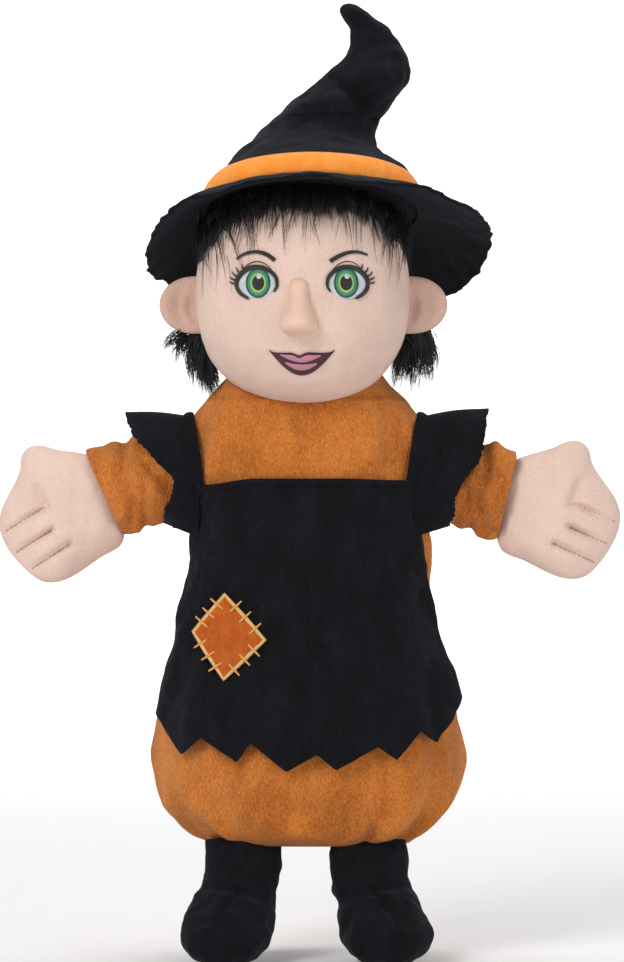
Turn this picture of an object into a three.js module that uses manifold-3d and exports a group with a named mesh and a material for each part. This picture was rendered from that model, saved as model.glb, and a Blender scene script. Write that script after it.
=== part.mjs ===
// A witch glove puppet: a lined cloth glove dressed in an orange plush frock and a black velour apron,
// with a stuffed head, hat, hands and boots. Millimetres, +Z up. The face looks along -Y and the
// puppet's own left is +X. The origin is the middle of the mouth that the hand goes in by, at the
// bottom of the frock.
import * as THREE from "three";
import { mergeVertices } from "three/addons/utils/BufferGeometryUtils.js";
import Module from "manifold-3d";

const wasm = await Module();
wasm.setup();
const turn = THREE.MathUtils.degToRad;

// ---- Cloth and clearances -----------------------------------------------------------------------
const gap = 0.4; // between two pieces that are sewn face to face
const plush = 2.4; // wall of the orange pile cloth
const velour = 1.6; // wall of the black cloth
const skin = 1.6; // wall of the flesh-coloured cloth
const lining = 1.0; // wall of the knitted lining
const thread = 0.6; // height of a satin-stitched area
const felt = 1.2; // thickness of the patch and the hat band

// ---- The frock, from the hem to the neck --------------------------------------------------------
const hem = { wide: 41, deep: 27 }; // half sizes of the mouth's rim
const skirt = { wide: 61.5, deep: 39, up: 37 };
const waist = { wide: 45, deep: 26, up: 125 };
const chest = { wide: 46, deep: 23.5, up: 164 };
const neckline = { wide: 36, deep: 19, up: 178, back: 2 };
const collarTop = { wide: 29, deep: 17, up: 192, back: 3 };
const liningTop = neckline.up - 24;

// ---- The head: a stuffed ball, longer above its widest line than below it -----------------------
const head = { wide: 42, front: 38, back: 34, down: 42, top: 54, centreUp: 220, centreBack: -8 };
const headRoom = { wide: 4, deep: 8, down: 8 }; // free space round the head for nodding and turning
const fingerTube = { radius: 11, wall: 1.4, from: liningTop - 2, back: 3 };
const fingerPocketTop = 228;

// ---- The arms -----------------------------------------------------------------------------------
const shoulder = { out: 45, up: 151 };
const sleeve = { long: 36, rootHigh: 13.5, high: 16, deep: 11.5, puff: 1 };
const cuffWidth = 5;
const handDrop = { left: 26, right: 33 };
const armDrop = { left: 18, right: 16.5 };
const ruffle = { from: 9, reach: 24, rootHigh: 18.8, rootDeep: 14.8, tipHigh: 27, tipDeep: 20, cutFrom: -6 };

// ---- The legs: one stuffed velour boot each, sewn under the front of the hem --------------------
const hip = { out: 24.5, front: -22.5, drop: 2 };
const boot = { long: 39, forward: 25, splay: 12, wide: 15.6 };

// ---- The hat ------------------------------------------------------------------------------------
const hatOver = 0.4; // how much wider the hat's mouth is than the head at each side
const hatBase = { wide: head.wide + hatOver, deep: head.front, up: 252, back: -6, tilt: 17 };
const brim = { root: 3, front: 22, side: 27, back: 25, sideDroop: 33, backDroop: 12, frontDroop: 2 };
const bandWidth = 11;

// ---- Making solids ------------------------------------------------------------------------------

// The manifold solid of a closed three.js geometry.
function solid(geometry) {
  const bare = new THREE.BufferGeometry().setAttribute("position", geometry.getAttribute("position"));
  if (geometry.index) bare.setIndex(geometry.index);
  const merged = mergeVertices(bare, 1e-4);
  const triVerts = new Uint32Array(merged.index.array);
  const vertProperties = new Float32Array(merged.getAttribute("position").array);
  return new wasm.Manifold(new wasm.Mesh({ numProp: 3, vertProperties, triVerts }));
}

// The three.js geometry of a manifold solid.
function geometryOf(made) {
  const mesh = made.getMesh();
  const geometry = new THREE.BufferGeometry();
  geometry.setAttribute("position", new THREE.BufferAttribute(mesh.vertProperties, 3));
  geometry.setIndex(new THREE.BufferAttribute(mesh.triVerts, 1));
  geometry.computeVertexNormals();
  return geometry;
}

const less = (first, ...others) => others.reduce((made, other) => made.subtract(other), first);
const common = (first, ...others) => others.reduce((made, other) => made.intersect(other), first);
const joined = (first, ...others) => others.reduce((made, other) => made.add(other), first);

// Moves every point of a geometry to where warp puts it.
function warped(geometry, warp) {
  const position = geometry.getAttribute("position");
  const point = new THREE.Vector3();
  for (let i = 0; i < position.count; i += 1) {
    warp(point.fromBufferAttribute(position, i));
    position.setXYZ(i, point.x, point.y, point.z);
  }
  return geometry;
}

// A solid with rounded sections along a line. A station is [x, y, z, half width, half depth], with the
// width along X as near as the line allows. Squareness 2 makes ellipses, and more makes them fuller at
// the corners.
function loft(stations, { rings, sides, grow = 0, squareness = 2, ends = 0 }) {
  const line = new THREE.CatmullRomCurve3(stations.map(([x, y, z]) => new THREE.Vector3(x, y, z)));
  const sizes = new THREE.CatmullRomCurve3(stations.map(([, , , w, d]) => new THREE.Vector3(w, d, 0)));
  const full = (value) => Math.sign(value) * Math.abs(value) ** (2 / squareness);
  const tube = new THREE.CylinderGeometry(1, 1, 1, sides, rings);
  return warped(tube, (point) => {
    const along = THREE.MathUtils.clamp(point.y + 0.5, 0, 1);
    const tangent = line.getTangent(along);
    const width = new THREE.Vector3(1, 0, 0).addScaledVector(tangent, -tangent.x).normalize();
    const depth = new THREE.Vector3().crossVectors(tangent, width);
    const size = sizes.getPoint(along);
    const past = ends * (along > 0.999 ? 1 : along < 0.001 ? -1 : 0);
    const across = full(point.x) * (size.x + grow);
    const deep = full(point.z) * (size.y + grow);
    point.copy(line.getPoint(along)).addScaledVector(tangent, past);
    point.addScaledVector(width, across).addScaledVector(depth, -deep);
  });
}

// An outline in the front view, as wide as x and as high as z, run through the depth from one y to another.
function plate(shape, front, back, curveSegments = 8) {
  const geometry = new THREE.ExtrudeGeometry(shape, {
    depth: back - front,
    bevelEnabled: false,
    curveSegments,
  });
  return geometry.rotateX(Math.PI / 2).translate(0, back, 0);
}

// A box from its lowest to its highest corner.
function block([x0, y0, z0], [x1, y1, z1]) {
  const box = new THREE.BoxGeometry(x1 - x0, y1 - y0, z1 - z0);
  return solid(box.translate((x0 + x1) / 2, (y0 + y1) / 2, (z0 + z1) / 2));
}

const outline = (points) => new THREE.Shape(points.map(([x, z]) => new THREE.Vector2(x, z)));

// A closed smooth outline through a few points.
function smoothOutline(points, divisions) {
  const curve = new THREE.CatmullRomCurve3(
    points.map(([x, z]) => new THREE.Vector3(x, z, 0)),
    true,
  );
  return outline(curve.getPoints(divisions).slice(0, -1).map((p) => [p.x, p.y]));
}

// An ellipse in the front view.
function oval(x, z, wide, high) {
  return new THREE.Shape().absellipse(x, z, wide, high, 0, 2 * Math.PI);
}

// The part of an ellipse's rim between two angles, in the front view. Thick is measured inwards.
function arcBand(x, z, wide, high, thick, from, to) {
  const arc = (inwards) =>
    new THREE.EllipseCurve(x, z, wide - inwards, high - inwards, turn(from), turn(to)).getPoints(8);
  return new THREE.Shape([...arc(0), ...arc(thick).reverse()]);
}

const far = 400; // past everything, for cutting blocks

// ---- Materials ----------------------------------------------------------------------------------
const cloth = (color, roughness) => new THREE.MeshStandardMaterial({ color, roughness, metalness: 0 });
const orangePlush = cloth(0xc8702d, 0.95);
const blackVelour = cloth(0x1e1e21, 0.9);
const flesh = cloth(0xe0c4b8, 0.92);
const noseFlesh = cloth(0xe7c3ab, 0.92);
const orangeFelt = cloth(0xf99643, 0.9);
const rustFelt = cloth(0xb6581b, 0.95);
const yellowThread = cloth(0xf0c47c, 0.6);
const blackFur = cloth(0x1b1b1c, 0.7);
const blackThread = cloth(0x2a2022, 0.6);
const whiteThread = cloth(0xe3eef0, 0.6);
const greenThread = cloth(0x3c8a66, 0.5);
const plumThread = cloth(0x6a1b30, 0.6);
const pinkThread = cloth(0xc7839a, 0.6);
const greyKnit = cloth(0x3a3a3c, 0.95);
const whiteFill = cloth(0xe8e6e0, 1);
const greyCard = cloth(0xb9b2a3, 0.9);

const puppet = new THREE.Group();

// Adds a named piece to a group, without the slivers that cutting can leave beside it.
function add(group, name, made, material) {
  const [whole] = made.decompose().sort((a, b) => b.volume() - a.volume());
  const mesh = new THREE.Mesh(geometryOf(whole.simplify(0.01)), material);
  mesh.name = name;
  group.add(mesh);
  return mesh;
}

// ---- Frock --------------------------------------------------------------------------------------
const frockStations = [
  [0, 0, 0, hem.wide, hem.deep],
  [0, 0, 7, hem.wide + 9, hem.deep + 6],
  [0, 0, skirt.up / 2, skirt.wide - 4, skirt.deep - 2.5],
  [0, 0, skirt.up, skirt.wide, skirt.deep],
  [0, 0, 58, 56.5, 36.5],
  [0, 0.5, 82, 51, 31.5],
  [0, 1, 104, 47.5, 28.5],
  [0, 1, waist.up, waist.wide, waist.deep],
  [0, 1, 146, 45.5, 24.5],
  [0, 1, chest.up, chest.wide, chest.deep],
  [0, neckline.back, 172, chest.wide - 1.5, chest.deep - 1],
  [0, neckline.back, neckline.up, neckline.wide, neckline.deep],
];
const frockForm = { rings: 9, sides: 20, squareness: 2.4 };
const frock = (grow, ends = 0) => solid(loft(frockStations, { ...frockForm, grow, ends }));

// The space kept free round the head, so that it can nod and turn over the collar.
const headRoomSolid = solid(
  headForm(16, 10, headRoom.wide, headRoom.deep, headRoom.down),
);

// Holes for the two arms, through both sides of whatever they are cut from.
function armholes(high, deep, lower = 0) {
  const hole = new THREE.CylinderGeometry(1, 1, 4 * shoulder.out, 14).rotateZ(Math.PI / 2);
  return solid(hole.scale(1, deep, high).translate(0, 1, shoulder.up - lower));
}

// The head's outer surface, moved out by the sizes given.
function headForm(sides, rings, wide = 0, deep = wide, down = wide) {
  const ball = new THREE.SphereGeometry(1, sides, rings).rotateX(Math.PI / 2);
  return warped(ball, (point) => {
    point.x *= head.wide + wide;
    point.y = point.y * ((point.y < 0 ? head.front : head.back) + deep) + head.centreBack;
    point.z = point.z * (point.z < 0 ? head.down + down : head.top + wide) + head.centreUp;
  });
}
const headBall = (grow) => solid(headForm(20, 13, grow));

const frockHoles = armholes(sleeve.rootHigh + 5, sleeve.deep + 3.5);
const apronHoles = armholes(sleeve.rootHigh + 9, sleeve.deep + 6, 3.5);
const frockShell = less(frock(0), frock(-plush, 2), frockHoles, headRoomSolid);
const frontHalf = block([-far, -far, -far], [far, -gap / 2, far]);
const backHalf = block([-far, gap / 2, -far], [far, far, far]);
add(puppet, "frock_front", common(frockShell, frontHalf), orangePlush);
add(puppet, "frock_back", common(frockShell, backHalf), orangePlush);

// The facing that is turned up inside the mouth.
const facingHigh = 12;
const facingShell = less(frock(-plush - gap), frock(-plush - gap - velour, 2));
add(
  puppet,
  "hem_facing",
  common(facingShell, block([-far, -far, 1], [far, far, facingHigh])),
  orangePlush,
);

// The knitted glove inside, open at the mouth, the neck and both arms.
const liningShell = less(
  frock(-plush - gap),
  frock(-plush - gap - lining, 2),
  frockHoles,
);
add(
  puppet,
  "glove_lining",
  common(liningShell, block([-far, -far, facingHigh + gap], [far, far, liningTop])),
  greyKnit,
);

// ---- Apron --------------------------------------------------------------------------------------
const apronTop = 148;
const apronStations = [
  [2, -1, 34, skirt.wide + 2, skirt.deep + 4],
  [2, -1, 58, 60.5, 41],
  [1, 0, 82, 55.5, 35.5],
  [0.5, 1, 104, 50.5, 31.5],
  [0, 1, waist.up, waist.wide + 2.8, waist.deep + 2.6],
  [0, 1, 146, 48, 27],
  [0, 1, chest.up, chest.wide + 2.2, chest.deep + 2.2],
  [0, 1.5, 172, chest.wide + 0.6, chest.deep + 1.2],
  [0, neckline.back, neckline.up + 1.2, neckline.wide + 4, neckline.deep + 2.5],
];
const apronForm = { rings: 8, sides: 20, squareness: 2.4 };
const apronLoft = (grow, ends = 0) => solid(loft(apronStations, { ...apronForm, grow, ends }));
const apronShell = less(apronLoft(velour), apronLoft(0, 2), frock(gap, 3), apronHoles);

// The hem is cut in points, lower towards the middle.
const hemPoints = { count: 6, left: -60, right: 66, high: 8, low: 41, rise: 15 };
function hemOutline() {
  const pitch = (hemPoints.right - hemPoints.left) / hemPoints.count;
  const middle = (hemPoints.left + hemPoints.right) / 2;
  const reach = hemPoints.right - middle;
  const sag = (x) => hemPoints.low + hemPoints.rise * ((x - middle) / reach) ** 2;
  const notch = (x) => sag(x) + hemPoints.high;
  const tip = (x) => sag(x) - hemPoints.high / 2;
  const edge = [[-far / 2, notch(hemPoints.left)]];
  for (let i = 0; i < hemPoints.count; i += 1) {
    const start = hemPoints.left + i * pitch;
    edge.push([start, notch(start)]);
    edge.push([start + pitch / 2, tip(start + pitch / 2)]);
  }
  edge.push([hemPoints.right, notch(hemPoints.right)]);
  edge.push([far / 2, notch(hemPoints.right)]);
  return edge;
}
const apronSide = 3; // how far back the apron reaches round each side
const strapInner = 39.5;
const strapBackEnd = 140;
const apronCut = outline([...hemOutline(), [far / 2, apronTop], [-far / 2, apronTop]]);
add(puppet, "apron_panel", common(apronShell, solid(plate(apronCut, -far, apronSide))), blackVelour);

// The rolled edge along the top of the bib, and a strap over each shoulder.
const bindingHigh = 3;
add(
  puppet,
  "apron_binding",
  common(
    apronShell,
    block([-strapInner, -far, apronTop + gap], [strapInner, 0, apronTop + gap + bindingHigh]),
  ),
  blackVelour,
);
const strapTop = neckline.up - 1;
for (const [name, side] of [["left", 1], ["right", -1]]) {
  const inner = Math.min(side * (strapInner + gap), side * far);
  const outer = Math.max(side * (strapInner + gap), side * far);
  const front = block([inner, -far, apronTop + gap], [outer, apronSide + gap / 2, strapTop]);
  const back = block([inner, apronSide, strapBackEnd], [outer, far, strapTop]);
  add(puppet, `strap_${name}`, common(apronShell, joined(front, back)), blackVelour);
}

// ---- Patch: a felt diamond held by a corded edge and twelve crossing stitches -------------------
const patch = { x: -30.8, z: 89, wide: 14.5, high: 17 };
const patchThread = 1.2;
const patchStitch = { inside: 1, outside: 3, wide: 0.9, perSide: 3 };
const patchCorners = (grow) => [
  [patch.x - 1.5, patch.z + patch.high + grow],
  [patch.x + patch.wide + grow, patch.z - 1],
  [patch.x - 2, patch.z - patch.high - grow],
  [patch.x - patch.wide - grow, patch.z + 1.5],
];
const clothLayer = (low, high) => less(apronLoft(velour + high), apronLoft(velour + low, 2));
const patchLayer = clothLayer(gap, gap + felt);
const throughFront = (shape) => solid(plate(shape, -far, -8));
add(puppet, "patch", common(patchLayer, throughFront(outline(patchCorners(0).reverse()))), rustFelt);

// One crossing stitch on the edge from one corner to the next, at a share of its length.
function crossStitch([x0, z0], [x1, z1], share) {
  const along = new THREE.Vector2(x1 - x0, z1 - z0).normalize();
  const across = new THREE.Vector2(-along.y, along.x);
  const middle = new THREE.Vector2(x0, z0).lerp(new THREE.Vector2(x1, z1), share);
  const corner = (a, b) => [
    middle.x + along.x * a + across.x * b,
    middle.y + along.y * a + across.y * b,
  ];
  const { wide, inside, outside } = patchStitch;
  return throughFront(
    outline([
      corner(-wide / 2, -inside),
      corner(wide / 2, -inside),
      corner(wide / 2, outside),
      corner(-wide / 2, outside),
    ]),
  );
}
const edgeOuter = patchCorners(gap + patchThread);
const edgeLayer = common(
  patchLayer,
  less(
    throughFront(outline([...edgeOuter].reverse())),
    throughFront(outline(patchCorners(gap).reverse())),
  ),
);
const stitches = edgeOuter.flatMap((corner, i) => {
  const next = edgeOuter[(i + 1) % edgeOuter.length];
  const shares = Array.from({ length: patchStitch.perSide }, (_, k) => 0.3 + 0.2 * k);
  return shares.map((share) => common(patchLayer, crossStitch(corner, next, share)));
});
add(puppet, "patch_stitching", joined(edgeLayer, ...stitches), yellowThread);

// ---- Neck: a card finger tube, and the frock's stand collar round it ----------------------------
const tubeProfile = [
  [fingerTube.radius, fingerTube.from],
  [fingerTube.radius + fingerTube.wall, fingerTube.from],
  [fingerTube.radius + fingerTube.wall, collarTop.up],
  [fingerTube.radius, collarTop.up],
  [fingerTube.radius, fingerTube.from],
].map(([r, z]) => new THREE.Vector2(r, z));
const tube = new THREE.LatheGeometry(tubeProfile, 16).rotateX(Math.PI / 2).translate(0, fingerTube.back, 0);
add(puppet, "finger_tube", less(solid(tube), headRoomSolid), greyCard);

const collarStations = [
  [0, neckline.back, neckline.up + gap, neckline.wide - 0.6, neckline.deep - 0.4],
  [0, neckline.back, neckline.up + 6, neckline.wide - 2.4, neckline.deep - 1],
  [0, collarTop.back, collarTop.up, collarTop.wide, collarTop.deep],
];
const collarForm = { rings: 3, sides: 18, squareness: 2.2 };
const collar = (grow, ends = 0) => solid(loft(collarStations, { ...collarForm, grow, ends }));
add(puppet, "collar", less(collar(0), collar(-plush, 2), headRoomSolid), orangePlush);

// ---- Head ---------------------------------------------------------------------------------------
const pocket = new THREE.CylinderGeometry(fingerTube.radius, fingerTube.radius, 80, 12);
pocket.rotateX(Math.PI / 2).translate(0, fingerTube.back, fingerPocketTop - 40);
const pocketSolid = solid(pocket);
const headShell = less(headBall(0), headBall(-skin), pocketSolid);
const seam = head.centreBack + 4; // the side seam, just behind the widest line
const faceHalf = block([-far, -far, -far], [far, seam - gap / 2, far]);
const napeHalf = block([-far, seam + gap / 2, -far], [far, far, far]);
add(puppet, "face_panel", common(headShell, faceHalf), flesh);
add(puppet, "head_back_panel", common(headShell, napeHalf), flesh);
add(puppet, "head_filling", less(headBall(-skin - gap), pocketSolid), whiteFill);

// A thin layer on the face, inside an outline.
const faceLayer = less(headBall(gap + thread), headBall(gap));
const throughFace = (shape, curveSegments) =>
  solid(plate(shape, -far, head.centreBack, curveSegments));
const onFace = (shape, curveSegments) => common(faceLayer, throughFace(shape, curveSegments));

// ---- Nose ---------------------------------------------------------------------------------------
const nose = { up: 214.5, high: 12, top: 4.6, tip: 7.2, out: 11 };
const noseBall = warped(new THREE.SphereGeometry(1, 14, 8).rotateX(Math.PI / 2), (point) => {
  const low = (1 - point.z) / 2; // 0 at the bridge and 1 at the tip
  point.x *= nose.top + (nose.tip - nose.top) * low * 1.25;
  point.y = point.y * (nose.out * (0.5 + 0.5 * low)) + head.centreBack - head.front + 2;
  point.z = point.z * nose.high + nose.up;
});
add(puppet, "nose", less(solid(noseBall), headBall(gap)), noseFlesh);

// ---- Eyes, brows and mouth: satin stitch on the face panel --------------------------------------
const eye = { out: 17.4, up: 224.3, white: [7.8, 6], iris: 4.8, pupil: 2.4 };
// The brow from its outer end over and back, as inwards and up from the middle of the eye.
const browPoints = [
  [-10, 10.6], [-4.6, 13.9], [1, 13.2], [6.2, 9.4], [5, 7.6], [0.2, 11.4], [-4.6, 12.6],
];
for (const [name, side] of [["left", 1], ["right", -1]]) {
  const x = side * eye.out;
  const round = (radius) => oval(x, eye.up, radius, radius * 1.15);
  add(puppet, `pupil_${name}`, onFace(round(eye.pupil), 5), blackThread);
  const pupilRoom = throughFace(round(eye.pupil + 1.5 * gap), 5);
  add(puppet, `iris_${name}`, less(onFace(round(eye.iris), 5), pupilRoom), greenThread);
  const white = onFace(oval(x, eye.up - 0.4, ...eye.white), 6);
  const lidRoom = block([-far, -far, eye.up + 3.4], [far, far, far]);
  const irisRoom = throughFace(round(eye.iris + 1.8 * gap), 5);
  add(puppet, `eye_white_${name}`, less(white, irisRoom, lidRoom), whiteThread);
  // The lid line runs over the eye from corner to corner.
  const lid = arcBand(x, eye.up, eye.white[0] + 1.9, eye.white[1] + 1.6, 1.4, 12, 168);
  add(puppet, `lash_line_${name}`, onFace(lid), blackThread);
  const brow = browPoints.map(([dx, dz]) => [x - side * dx, eye.up + dz]);
  add(puppet, `brow_${name}`, onFace(smoothOutline(brow, 16), 4), blackThread);
}

const mouth = { up: 194.6, wide: 13.2, low: -6.4, high: 3.4, rim: 1.2 };
const mouthOutline = (inset) =>
  smoothOutline(
    [
      [-mouth.wide + 2.6 * inset, mouth.high - inset],
      [-4.5, mouth.high - 1.4 - inset],
      [0, mouth.high - 2.2 - inset],
      [4.5, mouth.high - 1.4 - inset],
      [mouth.wide - 2.6 * inset, mouth.high - inset],
      [8 - inset, mouth.low * 0.45 + inset * 0.8],
      [0, mouth.low + inset],
      [-8 + inset, mouth.low * 0.45 + inset * 0.8],
    ].map(([x, z]) => [x, mouth.up + z]),
    16,
  );
const lipGap = [[-14, 4], [-7, -0.6], [0, -2.2], [7, -0.6], [14, 4]];
const lipGapLine = lipGap.map(([x, z]) => [x, mouth.up + z]);
const lipGapHalf = 0.45;
const lipGapBand = (grow) =>
  throughFace(
    outline([
      ...lipGapLine.map(([x, z]) => [x, z - lipGapHalf - grow]),
      ...[...lipGapLine].reverse().map(([x, z]) => [x, z + lipGapHalf + grow]),
    ]),
  );
const lips = less(onFace(mouthOutline(mouth.rim + 2 * gap)), lipGapBand(gap))
  .decompose()
  .sort((a, b) => b.boundingBox().max[2] - a.boundingBox().max[2]);
add(puppet, "upper_lip", lips[0], pinkThread);
add(puppet, "lower_lip", lips[1], pinkThread);
const lipRim = less(onFace(mouthOutline(0)), throughFace(mouthOutline(mouth.rim)));
const lipLine = common(onFace(mouthOutline(mouth.rim / 2)), lipGapBand(0));
add(puppet, "lip_outline", joined(lipRim, lipLine), plumThread);

// ---- Ears: flat padded lobes sewn into the side seam --------------------------------------------
const ear = { up: 215.5, out: 12, high: 12.5, thick: 4.2 };
for (const [name, side] of [["left", 1], ["right", -1]]) {
  const lobe = new THREE.SphereGeometry(1, 14, 8).scale(ear.out, ear.thick, ear.high);
  const bowl = new THREE.SphereGeometry(1, 10, 6);
  bowl.scale(ear.out * 0.62, ear.thick * 0.8, ear.high * 0.66);
  lobe.translate(side * (head.wide + 3), seam, ear.up);
  bowl.translate(side * (head.wide + 4), seam - ear.thick, ear.up);
  add(puppet, `ear_${name}`, less(solid(lobe), solid(bowl), headBall(gap)), flesh);
}

// ---- Hair: long-pile fur cloth round the back, a tuft behind each ear and a fringe --------------
const fur = { back: 6, fringe: 3, wide: 30, backFrom: 192, backTo: 236 };
const furLayer = less(headBall(fur.back), headBall(gap));
const napeRoom = block([-fur.wide, head.centreBack + 8, fur.backFrom], [fur.wide, far, fur.backTo]);
add(puppet, "hair_back", common(furLayer, napeRoom), blackFur);
const fringeLayer = less(headBall(fur.fringe), headBall(gap));
const fringeOutline = outline([
  [-33, 262], [-36, 242], [-24, 249], [-12, 250.5], [0, 250], [12, 250.5], [24, 249], [36, 242], [33, 262],
]);
add(
  puppet,
  "hair_fringe",
  common(fringeLayer, solid(plate(fringeOutline, -far, head.centreBack - 8))),
  blackFur,
);
for (const [name, side] of [["left", 1], ["right", -1]]) {
  const tuft = loft(
    [
      [side * 43.5, 8, 212, 6, 5],
      [side * 44, 9, 206, 8.5, 7],
      [side * 42, 9, 198, 7.5, 6.5],
      [side * 38.5, 8, 192, 3.5, 3.5],
    ],
    { rings: 6, sides: 12 },
  );
  const behindEar = block([-far, seam + ear.thick + 0.6, 0], [far, far, far]);
  const besideBack = block([-fur.wide - gap, 0, 0], [fur.wide + gap, far, far]);
  const clump = less(common(solid(tuft), behindEar), headBall(gap), besideBack);
  add(puppet, `hair_tuft_${name}`, clump, blackFur);
}

// ---- Hat ----------------------------------------------------------------------------------------
const leanBack = Math.tan(turn(hatBase.tilt));
const hatStations = [
  [2, hatBase.back, hatBase.up, hatBase.wide, hatBase.deep],
  [2, hatBase.back + 11 * leanBack, hatBase.up + 12, hatBase.wide - 7, hatBase.deep - 5],
  [3.4, hatBase.back + 6, hatBase.up + 26, 26.2, 24.5],
  [9.7, hatBase.back + 8, hatBase.up + 37, 19.8, 19],
  [16.9, hatBase.back + 9, hatBase.up + 45.5, 15.6, 15],
];
const tipStations = [
  [18.4, hatBase.back + 9.2, hatBase.up + 47.2, 15, 14.4],
  [25.6, hatBase.back + 9.5, hatBase.up + 55.3, 15, 13.6],
  [28.8, hatBase.back + 9, hatBase.up + 63, 11.6, 11],
  [26.4, hatBase.back + 8, hatBase.up + 71.6, 9.6, 9],
  [22, hatBase.back + 7, hatBase.up + 77.4, 7.4, 7],
  [17, hatBase.back + 6, hatBase.up + 80.4, 3.4, 3.2],
];
const hatTip = solid(loft(tipStations, { rings: 7, sides: 12 }));

// Room for the tip to flop to either side about its crease.
const tipFlop = 18;
const creaseAt = new THREE.Vector3(17.6, 0, hatBase.up + 46.4);
function flopped(degrees) {
  const moved = loft(tipStations, { rings: 7, sides: 12, grow: 0.6, ends: 0.3 });
  moved.translate(-creaseAt.x, 0, -creaseAt.z).rotateY(turn(degrees));
  return solid(moved.translate(creaseAt.x, 0, creaseAt.z));
}
const tipRoom = [-tipFlop, 0, tipFlop].map(flopped);
const crown = (grow, ends = 4) => solid(loft(hatStations, { rings: 6, sides: 18, grow, ends }));
const abovePlane = (lift) => {
  const slab = new THREE.BoxGeometry(300, 300, 200).translate(0, 0, 100 + lift);
  return solid(slab.rotateX(-turn(hatBase.tilt)).translate(2, hatBase.back, hatBase.up));
};
const crownWall = less(common(crown(0), abovePlane(gap)), crown(-velour, 4.4), ...tipRoom);
add(puppet, "hat_crown", crownWall, blackVelour);
const crownInside = common(crown(-velour), abovePlane(gap + 1));
const crownRoom = less(crownInside, headBall(fur.fringe + gap), ...tipRoom);
// The wall moved a little each way, which leaves a gap between it and the filling.
const aside = [[gap, 0, 0], [-gap, 0, 0], [0, gap, 0], [0, -gap, 0]];
const wallRoom = aside.map((step) => crownWall.translate(step));
add(puppet, "hat_filling", less(crownRoom, crownWall, ...wallRoom), whiteFill);
add(puppet, "hat_tip", hatTip, blackVelour);
const bandShell = less(crown(gap + felt), crown(gap, 4.4));
add(puppet, "hat_band", less(common(bandShell, abovePlane(2 * gap)), abovePlane(bandWidth)), orangeFelt);

// The brim: a flat ring of cloth that rises a little in front and hangs down at the sides.
const brimProfile = [
  [0, 0],
  [0.35, 0],
  [0.7, 0],
  [1, 0],
  [1, velour],
  [0.7, velour],
  [0.35, velour],
  [0, velour],
  [0, 0],
].map(([r, z]) => new THREE.Vector2(r + 1, z));
const brimRing = warped(new THREE.LatheGeometry(brimProfile, 24).rotateX(Math.PI / 2), (point) => {
  const angle = Math.atan2(point.y, point.x);
  const share = Math.max(0, Math.hypot(point.x, point.y) - 1); // 0 at the root and 1 at the edge
  const front = Math.max(0, -Math.sin(angle)) ** 1.5;
  const back = Math.max(0, Math.sin(angle)) ** 1.5;
  const side = Math.cos(angle) ** 2;
  const reach = brim.root + (brim.front * front + brim.back * back + brim.side * side) * share;
  const fall = (brim.sideDroop * side + brim.backDroop * back + brim.frontDroop * front) * share ** 1.6;
  const lift = point.z;
  point.x = Math.cos(angle) * (hatBase.wide - 2 * brim.root + reach);
  point.y = Math.sin(angle) * (hatBase.deep - 2 * brim.root + reach);
  point.z = lift - velour - fall;
});
brimRing.rotateX(-turn(hatBase.tilt)).translate(2, hatBase.back, hatBase.up);
add(puppet, "hat_brim", less(solid(brimRing), headBall(fur.back + 0.4)), blackVelour);

// ---- Arms: each is built pointing along +X from its shoulder, and mirrored for the other side ---
const sleeveStations = [
  [0, 0, 0, sleeve.rootHigh, sleeve.deep - 1],
  [0, 0, sleeve.long * 0.35, sleeve.high - 0.4, sleeve.deep + sleeve.puff],
  [0, 0, sleeve.long * 0.7, sleeve.high + sleeve.puff, sleeve.deep + sleeve.puff / 2],
  [0, 0, sleeve.long, sleeve.high, sleeve.deep - 1],
];
const sleeveForm = (grow, ends = 0) =>
  solid(loft(sleeveStations, { rings: 3, sides: 14, grow, ends }).rotateY(Math.PI / 2));

// A stuffed mitten from the wrist to the fingertips, with the thumb on the upper side.
const handStations = [
  [0.3, 0, -6, 13.6, 7.4],
  [0, 0, 0, 15, 8],
  [-0.5, 0, 8, 17, 9],
  [-0.8, 0, 20, 19.6, 9.4],
  [-0.4, 0, 31, 19.2, 8.8],
  [0.4, 0, 39, 15.4, 7.2],
  [0.6, 0, 44, 9.6, 4.8],
  [0.6, 0, 46.5, 3.4, 1.9],
];
const thumb = { along: 17, up: 20.5, long: 10.5, high: 12, thick: 7.4 };
function mitten(inset) {
  const form = { rings: 8, sides: 12, squareness: 2.3, grow: -inset, ends: -inset / 2 };
  const fingers = loft(handStations, form);
  const bump = new THREE.SphereGeometry(1, 10, 6);
  bump.scale(thumb.high - inset, thumb.thick - inset, thumb.long - inset);
  bump.translate(-thumb.up, 0, thumb.along);
  return joined(solid(fingers), solid(bump)).rotate([0, 90, 0]);
}

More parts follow.
